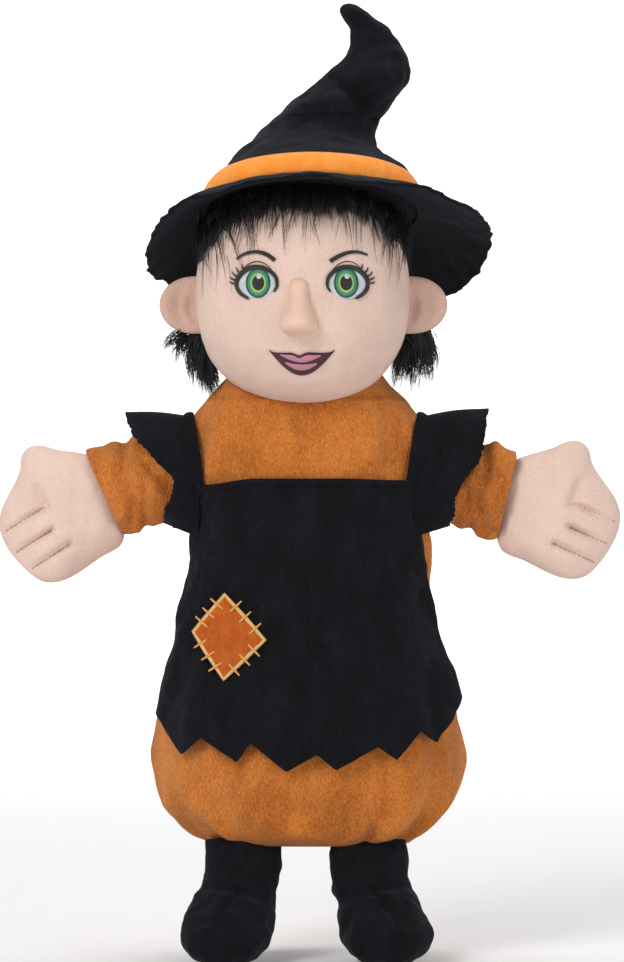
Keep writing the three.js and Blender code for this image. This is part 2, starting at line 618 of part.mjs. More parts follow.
// The wrist plane is square to the sleeve, and the fingers droop further.
const wristGap = 2.4; // lets the hand swing without rubbing the cuff
for (const [name, side] of [["left", 1], ["right", -1]]) {
  const arm = new THREE.Group();
  arm.position.set(side * shoulder.out, 0, shoulder.up);
  arm.rotation.y = side * turn(armDrop[name]);
  arm.scale.x = side;
  puppet.add(arm);

  const sleeveShell = less(sleeveForm(0), sleeveForm(-plush, 2));
  const cuffFrom = sleeve.long - cuffWidth;
  const forearm = block([0, -far, -far], [cuffFrom - gap / 2, far, far]);
  const wrist = block([cuffFrom + gap / 2, -far, -far], [far, far, far]);
  add(arm, `sleeve_${name}`, common(sleeveShell, forearm), orangePlush);
  add(arm, `cuff_${name}`, common(sleeveShell, wrist), orangePlush);
  const liningTube = less(sleeveForm(-plush - gap), sleeveForm(-plush - gap - lining, 2));
  const liningSpan = block([1, -far, -far], [sleeve.long - 1, far, far]);
  add(arm, `sleeve_lining_${name}`, common(liningTube, liningSpan), greyKnit);

  // The armhole seam, a firm ring of turned-in cloth inside the root of the sleeve. It leaves the
  // sleeve room to tilt round it.
  const ring = new THREE.TorusGeometry(1, 0.09, 4, 14).rotateY(Math.PI / 2);
  ring.scale(10, sleeve.deep - 4.7, sleeve.rootHigh - 5.1);
  add(arm, `armhole_seam_${name}`, solid(ring.translate(-1.6, 0, 0)), orangePlush);

  // The ruffle: a flared cap over the sleeve, cut away below.
  const { from, reach, rootHigh, rootDeep, tipHigh, tipDeep } = ruffle;
  const flare = (grow, ends = 0) =>
    solid(
      loft(
        [
          [0, 0, from, rootHigh, rootDeep],
          [0, 0, from + reach / 2, (rootHigh + tipHigh) / 2, (rootDeep + tipDeep) / 2],
          [0, 0, from + reach, tipHigh, tipDeep],
        ],
        { rings: 2, sides: 14, grow, ends },
      ).rotateY(Math.PI / 2),
    );
  const slant = new THREE.BoxGeometry(120, 120, 120).translate(0, 0, 60);
  slant.rotateY(-turn(38)).translate(from, 0, ruffle.cutFrom);
  add(arm, `ruffle_${name}`, common(less(flare(0), flare(-velour, 2)), solid(slant)), blackVelour);

  // The hand: two sewn panels over a filling. It hangs from the wrist at its own angle.
  const palm = new THREE.Group();
  palm.position.x = sleeve.long;
  const droop = handDrop[name] - armDrop[name];
  palm.rotation.y = turn(droop);
  arm.add(palm);
  const wristCut = block([wristGap, -far, -far], [far, far, far]).rotate([0, -droop, 0]);
  const handShell = less(mitten(0), mitten(skin));
  add(palm, `hand_palm_${name}`, common(handShell, wristCut, frontHalf), flesh);
  add(palm, `hand_back_${name}`, common(handShell, wristCut, backHalf), flesh);
  add(palm, `hand_filling_${name}`, common(mitten(skin + gap), wristCut), whiteFill);
}

// ---- Legs ---------------------------------------------------------------------------------------
for (const [name, side] of [["left", 1], ["right", -1]]) {
  const leg = new THREE.Group();
  leg.position.set(side * hip.out, hip.front, -hip.drop);
  leg.scale.x = side;
  puppet.add(leg);
  const { long, forward, splay, wide } = boot;
  const stations = (grow) => [
    [0, 0, 0, wide + grow, 3.4 + grow],
    [0.6, -0.4, -long * 0.16, wide - 0.4 + grow, 9 + grow],
    [1.8, -2, -long * 0.42, wide + 0.6 + grow, 12 + grow],
    [4.6, -forward * 0.36, -long * 0.64, wide + 2 + grow, 12.6 + grow],
    [splay * 0.72, -forward * 0.72, -long * 0.74, wide - 0.5 + grow, 10.4 + grow],
    [splay, -forward, -long * 0.8, wide * 0.42 + grow, 5 + grow],
  ];
  const bootForm = (grow, ends = 0) => solid(loft(stations(grow), { rings: 7, sides: 12, ends }));
  const fillingSlot = block([-5, -1.5, -10], [5, 1.5, 5]);
  const skinShell = less(bootForm(0), bootForm(-velour, -velour), fillingSlot);
  add(leg, `boot_${name}`, skinShell, blackVelour);
  const belowSeam = block([-far, -far, -far], [far, far, -4]);
  const filling = common(bootForm(-velour - 3 * gap, -velour - gap), belowSeam);
  add(leg, `boot_filling_${name}`, filling, whiteFill);
}

export default puppet;
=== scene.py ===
import bisect
import math
import random

import bmesh
import bpy
from mathutils import Matrix, Vector, noise


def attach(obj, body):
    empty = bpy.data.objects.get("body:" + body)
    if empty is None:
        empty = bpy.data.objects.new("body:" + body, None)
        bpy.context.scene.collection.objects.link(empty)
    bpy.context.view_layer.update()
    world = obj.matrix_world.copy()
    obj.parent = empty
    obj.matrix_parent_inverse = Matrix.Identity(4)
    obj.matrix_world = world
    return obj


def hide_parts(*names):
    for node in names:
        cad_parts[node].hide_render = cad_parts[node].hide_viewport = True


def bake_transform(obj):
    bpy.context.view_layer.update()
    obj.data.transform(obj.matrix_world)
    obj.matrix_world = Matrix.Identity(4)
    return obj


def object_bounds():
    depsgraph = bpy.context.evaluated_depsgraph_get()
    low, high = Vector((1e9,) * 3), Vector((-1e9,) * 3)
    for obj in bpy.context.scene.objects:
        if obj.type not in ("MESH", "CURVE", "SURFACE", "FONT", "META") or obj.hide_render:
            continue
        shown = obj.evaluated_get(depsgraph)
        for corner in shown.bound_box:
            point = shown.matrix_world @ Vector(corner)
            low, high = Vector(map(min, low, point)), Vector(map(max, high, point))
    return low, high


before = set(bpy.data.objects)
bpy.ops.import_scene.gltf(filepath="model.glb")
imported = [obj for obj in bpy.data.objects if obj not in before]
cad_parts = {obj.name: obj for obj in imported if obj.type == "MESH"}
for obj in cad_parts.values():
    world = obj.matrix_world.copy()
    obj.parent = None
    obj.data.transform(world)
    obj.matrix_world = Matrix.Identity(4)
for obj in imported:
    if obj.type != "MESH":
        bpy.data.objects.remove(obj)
cad_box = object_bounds()

# ---- Studio ------------------------------------------------------------------------------------------
# A long lens looks level at the middle of the puppet from the front. The floor runs up into a pale
# backdrop. One large soft light stands high to the left, and others fill the right and the top edge.
mm = 0.001
view_middle = Vector((2.4, 0, 145.4)) * mm
view_height = 382 * mm
camera_distance = 1.7
camera_data = bpy.data.cameras.new("camera")
camera_data.lens = 36 * camera_distance / view_height
camera_data.clip_end = 20
camera = bpy.data.objects.new("camera", camera_data)
camera.location = view_middle + Vector((0, -camera_distance, 0))
camera.rotation_euler = (math.pi / 2, 0, 0)
bpy.context.collection.objects.link(camera)
bpy.context.scene.camera = camera


def softbox(name, place, aim, size, watts):
    data = bpy.data.lights.new(name, "AREA")
    data.shape = "RECTANGLE"
    data.size, data.size_y = size
    data.energy = watts
    light = bpy.data.objects.new(name, data)
    light.location = place
    light.rotation_euler = (Vector(aim) - Vector(place)).to_track_quat("-Z", "Y").to_euler()
    bpy.context.collection.objects.link(light)


softbox("key_light", (-0.75, -1.15, 0.95), (0, 0, 0.15), (0.6, 0.6), 12)
softbox("fill_light", (1.1, -1.0, 0.35), (0, 0, 0.14), (0.8, 0.8), 4.5)
softbox("top_light", (0.1, 0.25, 1.2), (0, 0, 0.2), (0.8, 0.5), 4)
softbox("backdrop_light", (0, 1.7, 1.6), (0, 3.2, 0.3), (2.2, 0.9), 40)


def wired(tree, node, inputs):
    """Sets the inputs of a node, each to a value or to another node's output."""
    for label, value in inputs.items():
        if isinstance(value, bpy.types.NodeSocket):
            tree.links.new(value, node.inputs[label])
        else:
            node.inputs[label].default_value = value
    return node


def added(tree, kind, inputs, **settings):
    """A new node of a shader tree, with its settings and inputs."""
    node = tree.nodes.new(kind)
    for label, value in settings.items():
        setattr(node, label, value)
    return wired(tree, node, inputs)


def own_place(tree):
    """A place on the object itself."""
    return added(tree, "ShaderNodeTexCoord", {}).outputs["Object"]


def painted(name):
    """A new material and its shader tree."""
    material = bpy.data.materials.new(name)
    material.use_nodes = True
    return material, material.node_tree


# The air lights the puppet softly, and is seen as bright as the backdrop.
world = bpy.data.worlds.new("studio_air")
world.use_nodes = True
air = world.node_tree
seen = added(air, "ShaderNodeLightPath", {}).outputs["Is Camera Ray"]
air_strength = added(air, "ShaderNodeMapRange", {"To Min": 0.5, "To Max": 1.0, "Value": seen})
wired(air, air.nodes["Background"], {"Color": (1, 1, 1, 1), "Strength": air_strength.outputs["Result"]})
bpy.context.scene.world = world
bpy.context.scene.view_settings.view_transform = "Standard"

floor_level = cad_box[0][2] - 2.5 * mm
bend_start, bend_radius = 2.3, 0.7
bm = bmesh.new()
bmesh.ops.create_grid(bm, x_segments=1, y_segments=80, size=4.5)
for vert in bm.verts:
    past = vert.co.y - bend_start
    angle = min(math.pi / 2, max(0, past / bend_radius))
    if past > 0:
        vert.co.y = bend_start + bend_radius * math.sin(angle)
        vert.co.z = bend_radius * (1 - math.cos(angle)) + max(0, past - bend_radius * math.pi / 2)
    vert.co.z += floor_level
backdrop_mesh = bpy.data.meshes.new("backdrop")
bm.to_mesh(backdrop_mesh)
bm.free()
backdrop = bpy.data.objects.new("backdrop", backdrop_mesh)
bpy.context.collection.objects.link(backdrop)
for polygon in backdrop_mesh.polygons:
    polygon.use_smooth = True
paper, paper_tree = painted("backdrop_paper")
paper_look = {"Base Color": (0.93, 0.93, 0.93, 1), "Roughness": 0.9}
wired(paper_tree, paper_tree.nodes["Principled BSDF"], paper_look)
backdrop_mesh.materials.append(paper)

# ---- Frock -------------------------------------------------------------------------------------------
# The body of the glove: a front and a back panel of orange velboa, a knitted plush with a pile of about a
# millimetre, seamed down both sides. It fills out in soft folds, and is gathered in at the mouth.
tau = 2 * math.pi


def steady(low, high, value):
    """0 below low, 1 above high, and a smooth change between them."""
    share = min(1, max(0, (value - low) / (high - low)))
    return share * share * (3 - 2 * share)


def near(distance, width):
    """1 at a line, falling away within about its width."""
    return math.exp(-((distance / width) ** 2))


def along(rows, place):
    """A table's values at a place, on a smooth curve through its rows. Each row starts with its place."""
    place = min(rows[-1][0], max(rows[0][0], place))
    index = max(0, min(len(rows) - 2, sum(row[0] <= place for row in rows) - 1))
    a, b = rows[index], rows[index + 1]
    before, after = rows[max(0, index - 1)], rows[min(len(rows) - 1, index + 2)]
    step = b[0] - a[0]
    share = (place - a[0]) / step
    values = []
    for k in range(1, len(a)):
        rise_a = (b[k] - before[k]) / (b[0] - before[0]) * step
        rise_b = (after[k] - a[k]) / (after[0] - a[0]) * step
        values.append(
            a[k] * (1 + 2 * share) * (1 - share) ** 2
            + rise_a * share * (1 - share) ** 2
            + b[k] * share * share * (3 - 2 * share)
            - rise_b * share * share * (1 - share)
        )
    return values


def ripple(x, y, z, wave):
    """Gentle unevenness between about -1 and 1, with humps of the given width in millimetres."""
    return 1.6 * noise.noise(Vector((x, y, z)) / wave)


def cloth(name, across, up, place, closed=False, heart=(0, 0)):
    """A cloth surface from a flat grid. place turns its two shares, across and up, into millimetres.
    Its faces are turned away from the line that stands at heart."""
    bm = bmesh.new()
    weave = bm.loops.layers.uv.new("Weave")
    bmesh.ops.create_grid(bm, x_segments=across, y_segments=up, size=0.5)
    for face in bm.faces:
        for loop in face.loops:
            loop[weave].uv = (loop.vert.co.x + 0.5, loop.vert.co.y + 0.5)
    for vert in bm.verts:
        vert.co = Vector(place(vert.co.x + 0.5, vert.co.y + 0.5)) * mm
    if closed:
        bmesh.ops.remove_doubles(bm, verts=bm.verts, dist=0.01 * mm)
        bmesh.ops.recalc_face_normals(bm, faces=bm.faces)
    bm.normal_update()
    if heart is not None:
        middle = Vector(heart) * mm
        away = sum(f.normal.xy.dot(f.calc_center_median().xy - middle) for f in bm.faces)
        if away < 0:
            bmesh.ops.reverse_faces(bm, faces=bm.faces)
    return finished(name, bm)


def finished(name, bm):
    """The object of a bmesh, smooth shaded."""
    mesh = bpy.data.meshes.new(name)
    bm.to_mesh(mesh)
    bm.free()
    for polygon in mesh.polygons:
        polygon.use_smooth = True
    piece = bpy.data.objects.new(name, mesh)
    bpy.context.collection.objects.link(piece)
    return piece


def lined(piece, thickness, offset=-1):
    """Gives a cloth surface its thickness."""
    wall = piece.modifiers.new("thickness", "SOLIDIFY")
    wall.thickness = thickness * mm
    wall.offset = offset
    return piece


def sewn(piece, body, material, slot, *nodes):
    """Gives a piece its cloth, its body and the frame's nodes that it stands for."""
    piece.data.materials.append(material)
    if body:
        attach(piece, body)
    if nodes:
        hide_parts(*nodes)
    return piece


# The pile of a plush cloth: which way a patch lies, the tufts, and the height of the fibres.
pile_group = bpy.data.node_groups.new("pile", "ShaderNodeTree")
for label, value in (("Tufts", 900.0), ("Patches", 60.0)):
    socket = pile_group.interface.new_socket(label, in_out="INPUT", socket_type="NodeSocketFloat")
    socket.default_value = value
for label in ("Lay", "Tuft", "Height"):
    pile_group.interface.new_socket(label, in_out="OUTPUT", socket_type="NodeSocketFloat")
asked = added(pile_group, "NodeGroupInput", {}).outputs
brushed = added(
    pile_group, "ShaderNodeMapping",
    {"Vector": own_place(pile_group), "Rotation": (0, 0.6, 0), "Scale": (1.25, 1, 0.62)},
).outputs["Vector"]
lay_noise = added(
    pile_group, "ShaderNodeTexNoise",
    {"Vector": brushed, "Scale": asked["Patches"], "Detail": 4, "Roughness": 0.62, "Distortion": 0.6},
)
lay = added(
    pile_group, "ShaderNodeMapRange",
    {"Value": lay_noise.outputs["Fac"], "From Min": 0.32, "From Max": 0.68}, interpolation_type="SMOOTHSTEP",
)
tuft_noise = added(
    pile_group, "ShaderNodeTexNoise",
    {"Vector": brushed, "Scale": asked["Tufts"], "Detail": 3, "Roughness": 0.7},
)
tuft_shade = added(
    pile_group, "ShaderNodeMapRange", {"Value": tuft_noise.outputs["Fac"], "From Min": 0.3, "From Max": 0.7}
).outputs["Result"]
tuft_cells = added(
    pile_group, "ShaderNodeTexVoronoi", {"Vector": brushed, "Scale": asked["Tufts"]}, feature="SMOOTH_F1"
)
pile_height = added(
    pile_group, "ShaderNodeMath", {0: tuft_shade, 1: tuft_cells.outputs["Distance"]}, operation="SUBTRACT"
)
added(pile_group, "NodeGroupOutput", {
    "Lay": lay.outputs["Result"], "Tuft": tuft_shade, "Height": pile_height.outputs["Value"],
})


def two_tones(tree, factor, dark, light):
    """A colour that runs from dark to light."""
    ends = {"Factor": factor, "A": (*dark, 1), "B": (*light, 1)}
    mix = added(tree, "ShaderNodeMix", ends, data_type="RGBA")
    return mix.outputs["Result"]


def raised(tree, height, depth, strength=1):
    """The normal of a surface whose detail stands up to depth millimetres high."""
    bump = added(tree, "ShaderNodeBump", {"Strength": strength, "Distance": depth * mm, "Height": height})
    return bump.outputs["Normal"]


def plush(name, shade, light, tufts, patches, depth, sheen, glow, brush):
    """A pile cloth. shade and light are its colours where the pile lies away and towards the eye, tufts and
    patches how many there are in a metre, and depth the height of the pile in millimetres. brush is how much
    of the colour comes from the way that the patches lie."""
    material, tree = painted(name)
    counts = {"Tufts": tufts, "Patches": patches}
    pile = added(tree, "ShaderNodeGroup", counts, node_tree=pile_group).outputs
    balance = added(tree, "ShaderNodeMix", {"Factor": brush, "A": pile["Tuft"], "B": pile["Lay"]})
    wired(tree, tree.nodes["Principled BSDF"], {
        "Base Color": two_tones(tree, balance.outputs["Result"], shade, light),
        "Normal": raised(tree, pile["Height"], depth, 0.8),
        "Roughness": 0.88,
        "Specular IOR Level": 0.15,
        "Sheen Weight": sheen,
        "Sheen Roughness": 0.45,
        "Sheen Tint": (*glow, 1),
    })
    return material


def srgb(red, green, blue):
    """A colour as the eye names it, from 0 to 255, as the light that it gives back."""
    shares = (red / 255, green / 255, blue / 255)
    return tuple(c / 12.92 if c < 0.0404 else ((c + 0.055) / 1.055) ** 2.4 for c in shares)


orange_plush = plush(
    "orange_velboa", srgb(146, 70, 15), srgb(238, 145, 64), 1250, 48, 0.7, 0.26, (1, 0.74, 0.48), brush=0.34
)

frock_top = 178
# Height, half width, half depth and how far back the middle is, in millimetres.
frock_rows = (
    (0, 40, 26, 0), (3, 45, 30, 0), (8, 51, 33.5, 0), (18, 58, 37, 0), (34, 61.5, 39, 0), (58, 57, 36.5, 0),
    (82, 51, 31.5, 0.5), (104, 47.5, 28.5, 1), (125, 45, 26, 1), (146, 45.5, 24.5, 1), (162, 46, 23, 1),
    (170, 45, 21, 1.5), (174, 42.6, 19.8, 2), (frock_top, 39.4, 18.8, 2),
)


def round_frock(turn, height, out=0):
    """A point of the frock without its folds. turn is 0 at the puppet's left side and 0.75 in front."""
    wide, deep, back = along(frock_rows, height)
    c, s = math.cos(tau * turn), math.sin(tau * turn)
    x = math.copysign(abs(c) ** 0.83, c) * (wide + out) + 1.4 * steady(95, 40, height)
    y = math.copysign(abs(s) ** 0.83, s) * (deep + out) + back
    return Vector((x, y, height + 2.4 * steady(24, 0, height)))


def waist_slack(turn, height):
    """Slack cloth that bags out beside the apron at the puppet's left waist."""
    return 5 * near((turn + 0.5) % 1 - 0.5, 0.07) * near(height - 119, 15)


def frock_folds(turn, height):
    """How far the folds stand out."""
    c, s = math.cos(tau * turn) * 40, math.sin(tau * turn) * 40
    low = 1 - steady(20, 110, height)
    tucks = math.sin(tau * 19 * turn + 3 * ripple(c, s, 0, 25)) * near(height, 9) * 1.5
    puffs = 1.8 * math.sin(tau * 8 * turn + 2.5 * ripple(c, s, height * 0.5, 20)) * near(height - 10, 14)
    hanging = low * (2.4 * ripple(c, s, height * 0.22, 22) + 1.3 * ripple(c, s, height * 0.35, 9))
    crumple = 0.7 * ripple(c, s, height, 14) + 0.2 * ripple(c, s, height, 6)
    crumple *= 1 - 0.6 * steady(158, 172, height)
    chest = 1.5 * steady(120, 150, height) * (1 - steady(168, frock_top, height))
    chest *= ripple(c, s, height * 0.3, 10)
    seam = -1.1 * (near(math.cos(tau * turn) - 1, 0.004) + near(math.cos(tau * turn) + 1, 0.004))
    return tucks + puffs + hanging + crumple + chest + seam + waist_slack(turn, height)


for side, first_turn in (("front", 0.5), ("back", 0.0)):

    def panel_place(u, v):
        turn, height = first_turn + u / 2, frock_top * v
        return round_frock(turn, height, frock_folds(turn, height) * steady(0, 4, height))

    panel = cloth(f"frock_{side}_panel", 130, 150, panel_place)
    lined(panel, 1.8)
    sewn(panel, "glove", orange_plush, "orange_plush", f"frock_{side}")

# ---- Facing and lining -------------------------------------------------------------------------------
# The frock's lower edge is turned up inside the mouth and stitched. Above it hangs the knitted lining that
# the hand slides in.
facing = cloth(
    "mouth_facing", 200, 10,
    lambda u, v: round_frock(u, 0.6 + 11 * v, -2.6 - 1.2 * v + 0.6 * frock_folds(u, 0)),
    closed=True,
)
lined(facing, 1.4)
sewn(facing, "glove", orange_plush, "orange_plush", "hem_facing")

knit, knit_tree = painted("grey_knit")
wales = added(
    knit_tree, "ShaderNodeTexWave",
    {"Vector": own_place(knit_tree), "Scale": 160, "Distortion": 1.5},
    bands_direction="DIAGONAL",
).outputs["Fac"]
wired(knit_tree, knit_tree.nodes["Principled BSDF"], {
    "Base Color": two_tones(knit_tree, wales, (0.022, 0.022, 0.024), (0.07, 0.07, 0.074)),
    "Normal": raised(knit_tree, wales, 0.3),
    "Roughness": 0.95,
})
lining = cloth(
    "hand_lining", 90, 60,
    lambda u, v: round_frock(u, 10 + 142 * v, -5.2 + 0.5 * frock_folds(u, 10 + 142 * v)),
    closed=True,
)
lined(lining, 0.8)
sewn(lining, "glove", knit, "grey_knit", "glove_lining")

# ---- Collar ------------------------------------------------------------------------------------------
# The frock carries on upwards as a soft neck, which is sewn to the head all round under the chin.
collar_rows = (
    (170, 44.2, 19.8, 2), (175, 41.4, 19.2, 2), (180, 37.4, 18.6, 2.4), (185, 32.4, 18, 3),
    (190, 29, 17.2, 3), (198, 26, 16, 3),
)


def collar_point(turn, height, out=0):
    wide, deep, back = along(collar_rows, height)
    c, s = math.cos(tau * turn), math.sin(tau * turn)
    out += 0.6 * ripple(c * 30, s * 30, height * 1.5, 9) + 0.3 * ripple(c * 30, s * 30, height, 4)
    return (c * (wide + out), s * (deep + out) + back, height)


collar = cloth("collar_cloth", 120, 26, lambda u, v: collar_point(u, 171 + 17 * v), closed=True)
lined(collar, 1.8)
sewn(collar, None, orange_plush, "orange_plush", "collar")
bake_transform(collar)
neck_gusset = cloth("neck_gusset", 120, 22, lambda u, v: collar_point(u, 182 + 16 * v, -0.9), closed=True)
lined(neck_gusset, 1.4)
sewn(neck_gusset, None, orange_plush, "orange_plush")
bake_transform(neck_gusset)

# ---- Apron -------------------------------------------------------------------------------------------
# A bib and skirt in one panel of black velour. Its hem is cut in raw points, its top edge is bound, and it
# hangs from two shoulder straps, each with a flared ruffle that stands out over the sleeve.
black_velour = plush(
    "black_velour", srgb(2, 2, 3), srgb(21, 21, 28), 1100, 85, 0.3, 0.07, (0.55, 0.6, 0.8), brush=0.45
)
hem_tips = ((-48.7, 39.2), (-26.9, 36.5), (-7.3, 33), (11.8, 33.4), (35.2, 37.2), (51.8, 43.9))
hem_notches = ((-62, 55), (-41, 45.8), (-21.6, 43.9), (4.4, 39.4), (28, 42.3), (45.8, 48.6), (65, 60))
hem_line = sorted(hem_tips + hem_notches)


def hem_height(x):
    """The height of the pointed hem at a place across the apron."""
    x = min(hem_line[-1][0], max(hem_line[0][0], x))
    for (x0, z0), (x1, z1) in zip(hem_line, hem_line[1:]):
        if x <= x1:
            return z0 + (z1 - z0) * (x - x0) / (x1 - x0)
    return hem_line[-1][1]


def bib_height(x):
    """The height of the bib's upper edge, which sags at the puppet's right."""
    return 145.2 - 2.4 * steady(-20, -40, x) - 0.6 * steady(15, 35, x)


# Height, and how far round each side the cloth goes, in turns from the front.
apron_reach = ((30, 0.19), (60, 0.195), (90, 0.196), (112, 0.19), (126, 0.192), (134, 0.18), (147, 0.162))


def apron_point(share, height):
    """share runs from 0 at the viewer's left edge to 1 at the right edge."""
    turn = 0.75 + (share * 2 - 1) * along(apron_reach, height)[0]
    c, s = math.cos(tau * turn) * 40, math.sin(tau * turn) * 40
    free = 1 - steady(40, 120, height)
    out = 3.0 + 0.8 * (frock_folds(turn, height) - waist_slack(turn, height)) * (1 - free)
    out += free * (2.4 + 1.9 * ripple(c, s, height * 0.2, 17) + 0.8 * ripple(c, s, height * 0.4, 8))
    out += 1.1 * ripple(c + 90, s, height * 0.7, 12) + 0.35 * ripple(c, s + 50, height, 5)
    # Two soft folds run down from the bib's corners.
    out += 1.1 * near(share - 0.2 + (height - 90) * 0.0012, 0.05) * steady(145, 110, height)
    out += 0.9 * near(share - 0.83 - (height - 90) * 0.001, 0.045) * steady(145, 110, height)
    out += 2 * free * abs(share * 2 - 1) ** 4
    return round_frock(turn, height, out)


def apron_cloth(u, v):
    x = apron_point(u, 42).x
    foot, top = hem_height(x), bib_height(apron_point(u, 144).x)
    return apron_point(u, foot + (top - foot) * v)


apron = cloth("apron_panel_cloth", 260, 120, apron_cloth)
lined(apron, 1.1)
sewn(apron, "glove", black_velour, "black_velour", "apron_panel")


def binding_place(u, v):
    point = apron_point(u, bib_height(apron_point(u, 144).x) - 1.4 + 2.6 * v)
    return point + Vector((0, -0.4 - 0.6 * math.sin(math.pi * v), 0))


binding = cloth("apron_binding_roll", 160, 10, binding_place)
lined(binding, 1.4)
sewn(binding, "glove", black_velour, "black_velour", "apron_binding")

# Share from the bib over the shoulder and down behind, then across, back and height, on the puppet's left.
strap_inner = (
    (0, 39.6, -15.8, 141), (0.16, 40.3, -15.4, 150), (0.3, 41.6, -13.6, 158.5), (0.4, 42.8, -10.3, 165),
    (0.46, 43.8, -5.8, 169.6), (0.5, 44.4, 0, 171.8), (0.54, 43.8, 6.6, 170), (0.64, 42.5, 12.4, 163),
    (0.8, 41, 17, 152), (1, 40, 19, 140),
)
ruffle_root = (
    (0, 42.5, -14, 123.5), (0.08, 42, -15.5, 131), (0.16, 42.4, -15.5, 139), (0.24, 43.6, -15, 147),
    (0.32, 44.8, -14, 155), (0.4, 45.8, -10.5, 164), (0.46, 46.8, -5.5, 169), (0.5, 47.2, 0, 170.8),
    (0.54, 47, 6, 169.4), (0.62, 46, 12, 163), (0.74, 45, 16.5, 150), (0.9, 46, 17, 134), (1, 47, 14, 126),
)
ruffle_edges = {
    "left": (
        (0, 56.5, -9, 128), (0.08, 58.5, -14, 133), (0.16, 58.6, -18, 139), (0.24, 63, -19, 146.4),
        (0.32, 68, -17.5, 153), (0.4, 70.6, -12.5, 162), (0.46, 71.6, -6.5, 169.5), (0.5, 72.4, 0, 173.4),
        (0.54, 72, 7, 171), (0.62, 70, 14, 162), (0.74, 63, 19, 147), (0.9, 57, 17, 132), (1, 54, 12, 127),
    ),
    "right": (
        (0, 55.6, -9, 129), (0.08, 55.6, -14, 133.4), (0.16, 52.6, -17, 140.6), (0.22, 52, -19, 147),
        (0.28, 57, -19.5, 151.4), (0.34, 62.4, -17.5, 156.6), (0.4, 67.2, -13.5, 162.6),
        (0.46, 70.2, -6.5, 168.6), (0.5, 71.2, 0, 171.6), (0.54, 70.8, 7, 169.6),
        (0.62, 68, 14, 161), (0.74, 62, 19, 146),
        (0.9, 56, 17, 132), (1, 53, 12, 127),
    ),
}
for name, side in (("left", 1), ("right", -1)):

    def strap_place(u, v):
        # The band reaches from its inner edge to under the root of the ruffle.
        inner = Vector(along(strap_inner, u))
        outer = Vector(along(ruffle_root, 0.14 + 0.72 * u)) + Vector((0.6, 0, 0.4))
        point = inner.lerp(outer, v) + Vector((0, -1.2 * math.sin(math.pi * v) * (1 - 2 * u), 0))
        arch = 0.5 * math.sin(math.pi * v) * near(u - 0.5, 0.2)
        point.z += arch + 0.3 * ripple(point.x, point.y, point.z, 6)
        return (side * point.x - (0.6 if side < 0 else 0), point.y, point.z)

    strap = cloth(f"strap_{name}_band", 90, 12, strap_place)
    lined(strap, 1.2, 0)
    sewn(strap, "glove", black_velour, "black_velour", f"strap_{name}")

    def ruffle_place(u, v):
        root, edge = Vector(along(ruffle_root, u)), Vector(along(ruffle_edges[name], u))
        point = root.lerp(edge, v)
        rise = math.sin(math.pi * u)
        front = 1 if u < 0.5 else -1
        bulge = math.sin(math.pi * v) * (0.6 + 1.3 * rise)
        frill = 1.1 * math.sin(tau * 4.5 * u + 1.4 * side)
        wave = v * v * (frill + 0.5 * ripple(u * 90, v * 9, 30 * side, 7))
        point += Vector((0, -front * (bulge + wave) * (1 - rise ** 6), (bulge * 0.5 + wave) * rise ** 3))
        ragged = 0.55 * ripple(u * 160, 20 * side, 0, 1.6) * steady(0.9, 1, v)
        point += (edge - root).normalized() * ragged
        return (side * point.x, point.y, point.z)

    ruffle = cloth(f"ruffle_{name}_cloth", 220, 36, ruffle_place)
    lined(ruffle, 1.1, 0)
    sewn(ruffle, None, black_velour, "black_velour", f"ruffle_{name}")
    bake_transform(ruffle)

# ---- Patch -------------------------------------------------------------------------------------------
# A diamond of rust felt held by a corded satin-stitch border in yellow thread, with three long stitches
# across each side.
rust_felt = plush(
    "rust_felt", srgb(158, 70, 20), srgb(196, 100, 38), 1500, 260, 0.15, 0.2, (1, 0.7, 0.5), brush=0.4
)
patch_corners = [Vector(corner) for corner in ((-31.7, 100.6), (-16.4, 83.6), (-31.9, 68.8), (-43.6, 86.4))]
patch_middle = sum(patch_corners, Vector((0, 0))) / 4


def on_apron(x, z, out):
    """A point over the apron's front at a place in the front view."""
    low, high = 0.0, 1.0
    for _ in range(22):
        middle = (low + high) / 2
        if apron_point(middle, z).x < x:
            low = middle
        else:
            high = middle
    return apron_point(low, z) + Vector((0, -out, 0))


def patch_rim(turn):
    """A point of the diamond's edge."""
    corner = int(turn * 4) % 4
    share = turn * 4 - int(turn * 4)
    a, b = patch_corners[corner], patch_corners[(corner + 1) % 4]
    return a.lerp(b, share)


def patch_place(u, v):
    point = patch_middle.lerp(patch_rim(u), v)
    return on_apron(point.x, point.y, 1.0 + 0.25 * ripple(point.x, point.y, 0, 3))


patch = cloth("patch_felt", 64, 14, patch_place, closed=True, heart=(-30, 60))
lined(patch, 0.9, 0)
sewn(patch, "glove", rust_felt, "rust_felt", "patch")


def embroidery(name, shade, light, threads):
    """Satin stitch: a close row of shiny threads. They follow the piece's own across and up shares."""
    material, tree = painted(name)
    shares = added(tree, "ShaderNodeUVMap", {}, uv_map="Weave").outputs["UV"]
    rows = added(
        tree, "ShaderNodeTexWave", {"Vector": shares, "Scale": threads, "Distortion": 0.6, "Detail": 1},
        bands_direction="X",
    ).outputs["Fac"]
    wired(tree, tree.nodes["Principled BSDF"], {
        "Base Color": two_tones(tree, rows, shade, light),
        "Normal": raised(tree, rows, 0.18, 0.7),
        "Roughness": 0.45,
        "Sheen Weight": 0.2,
    })
    return material


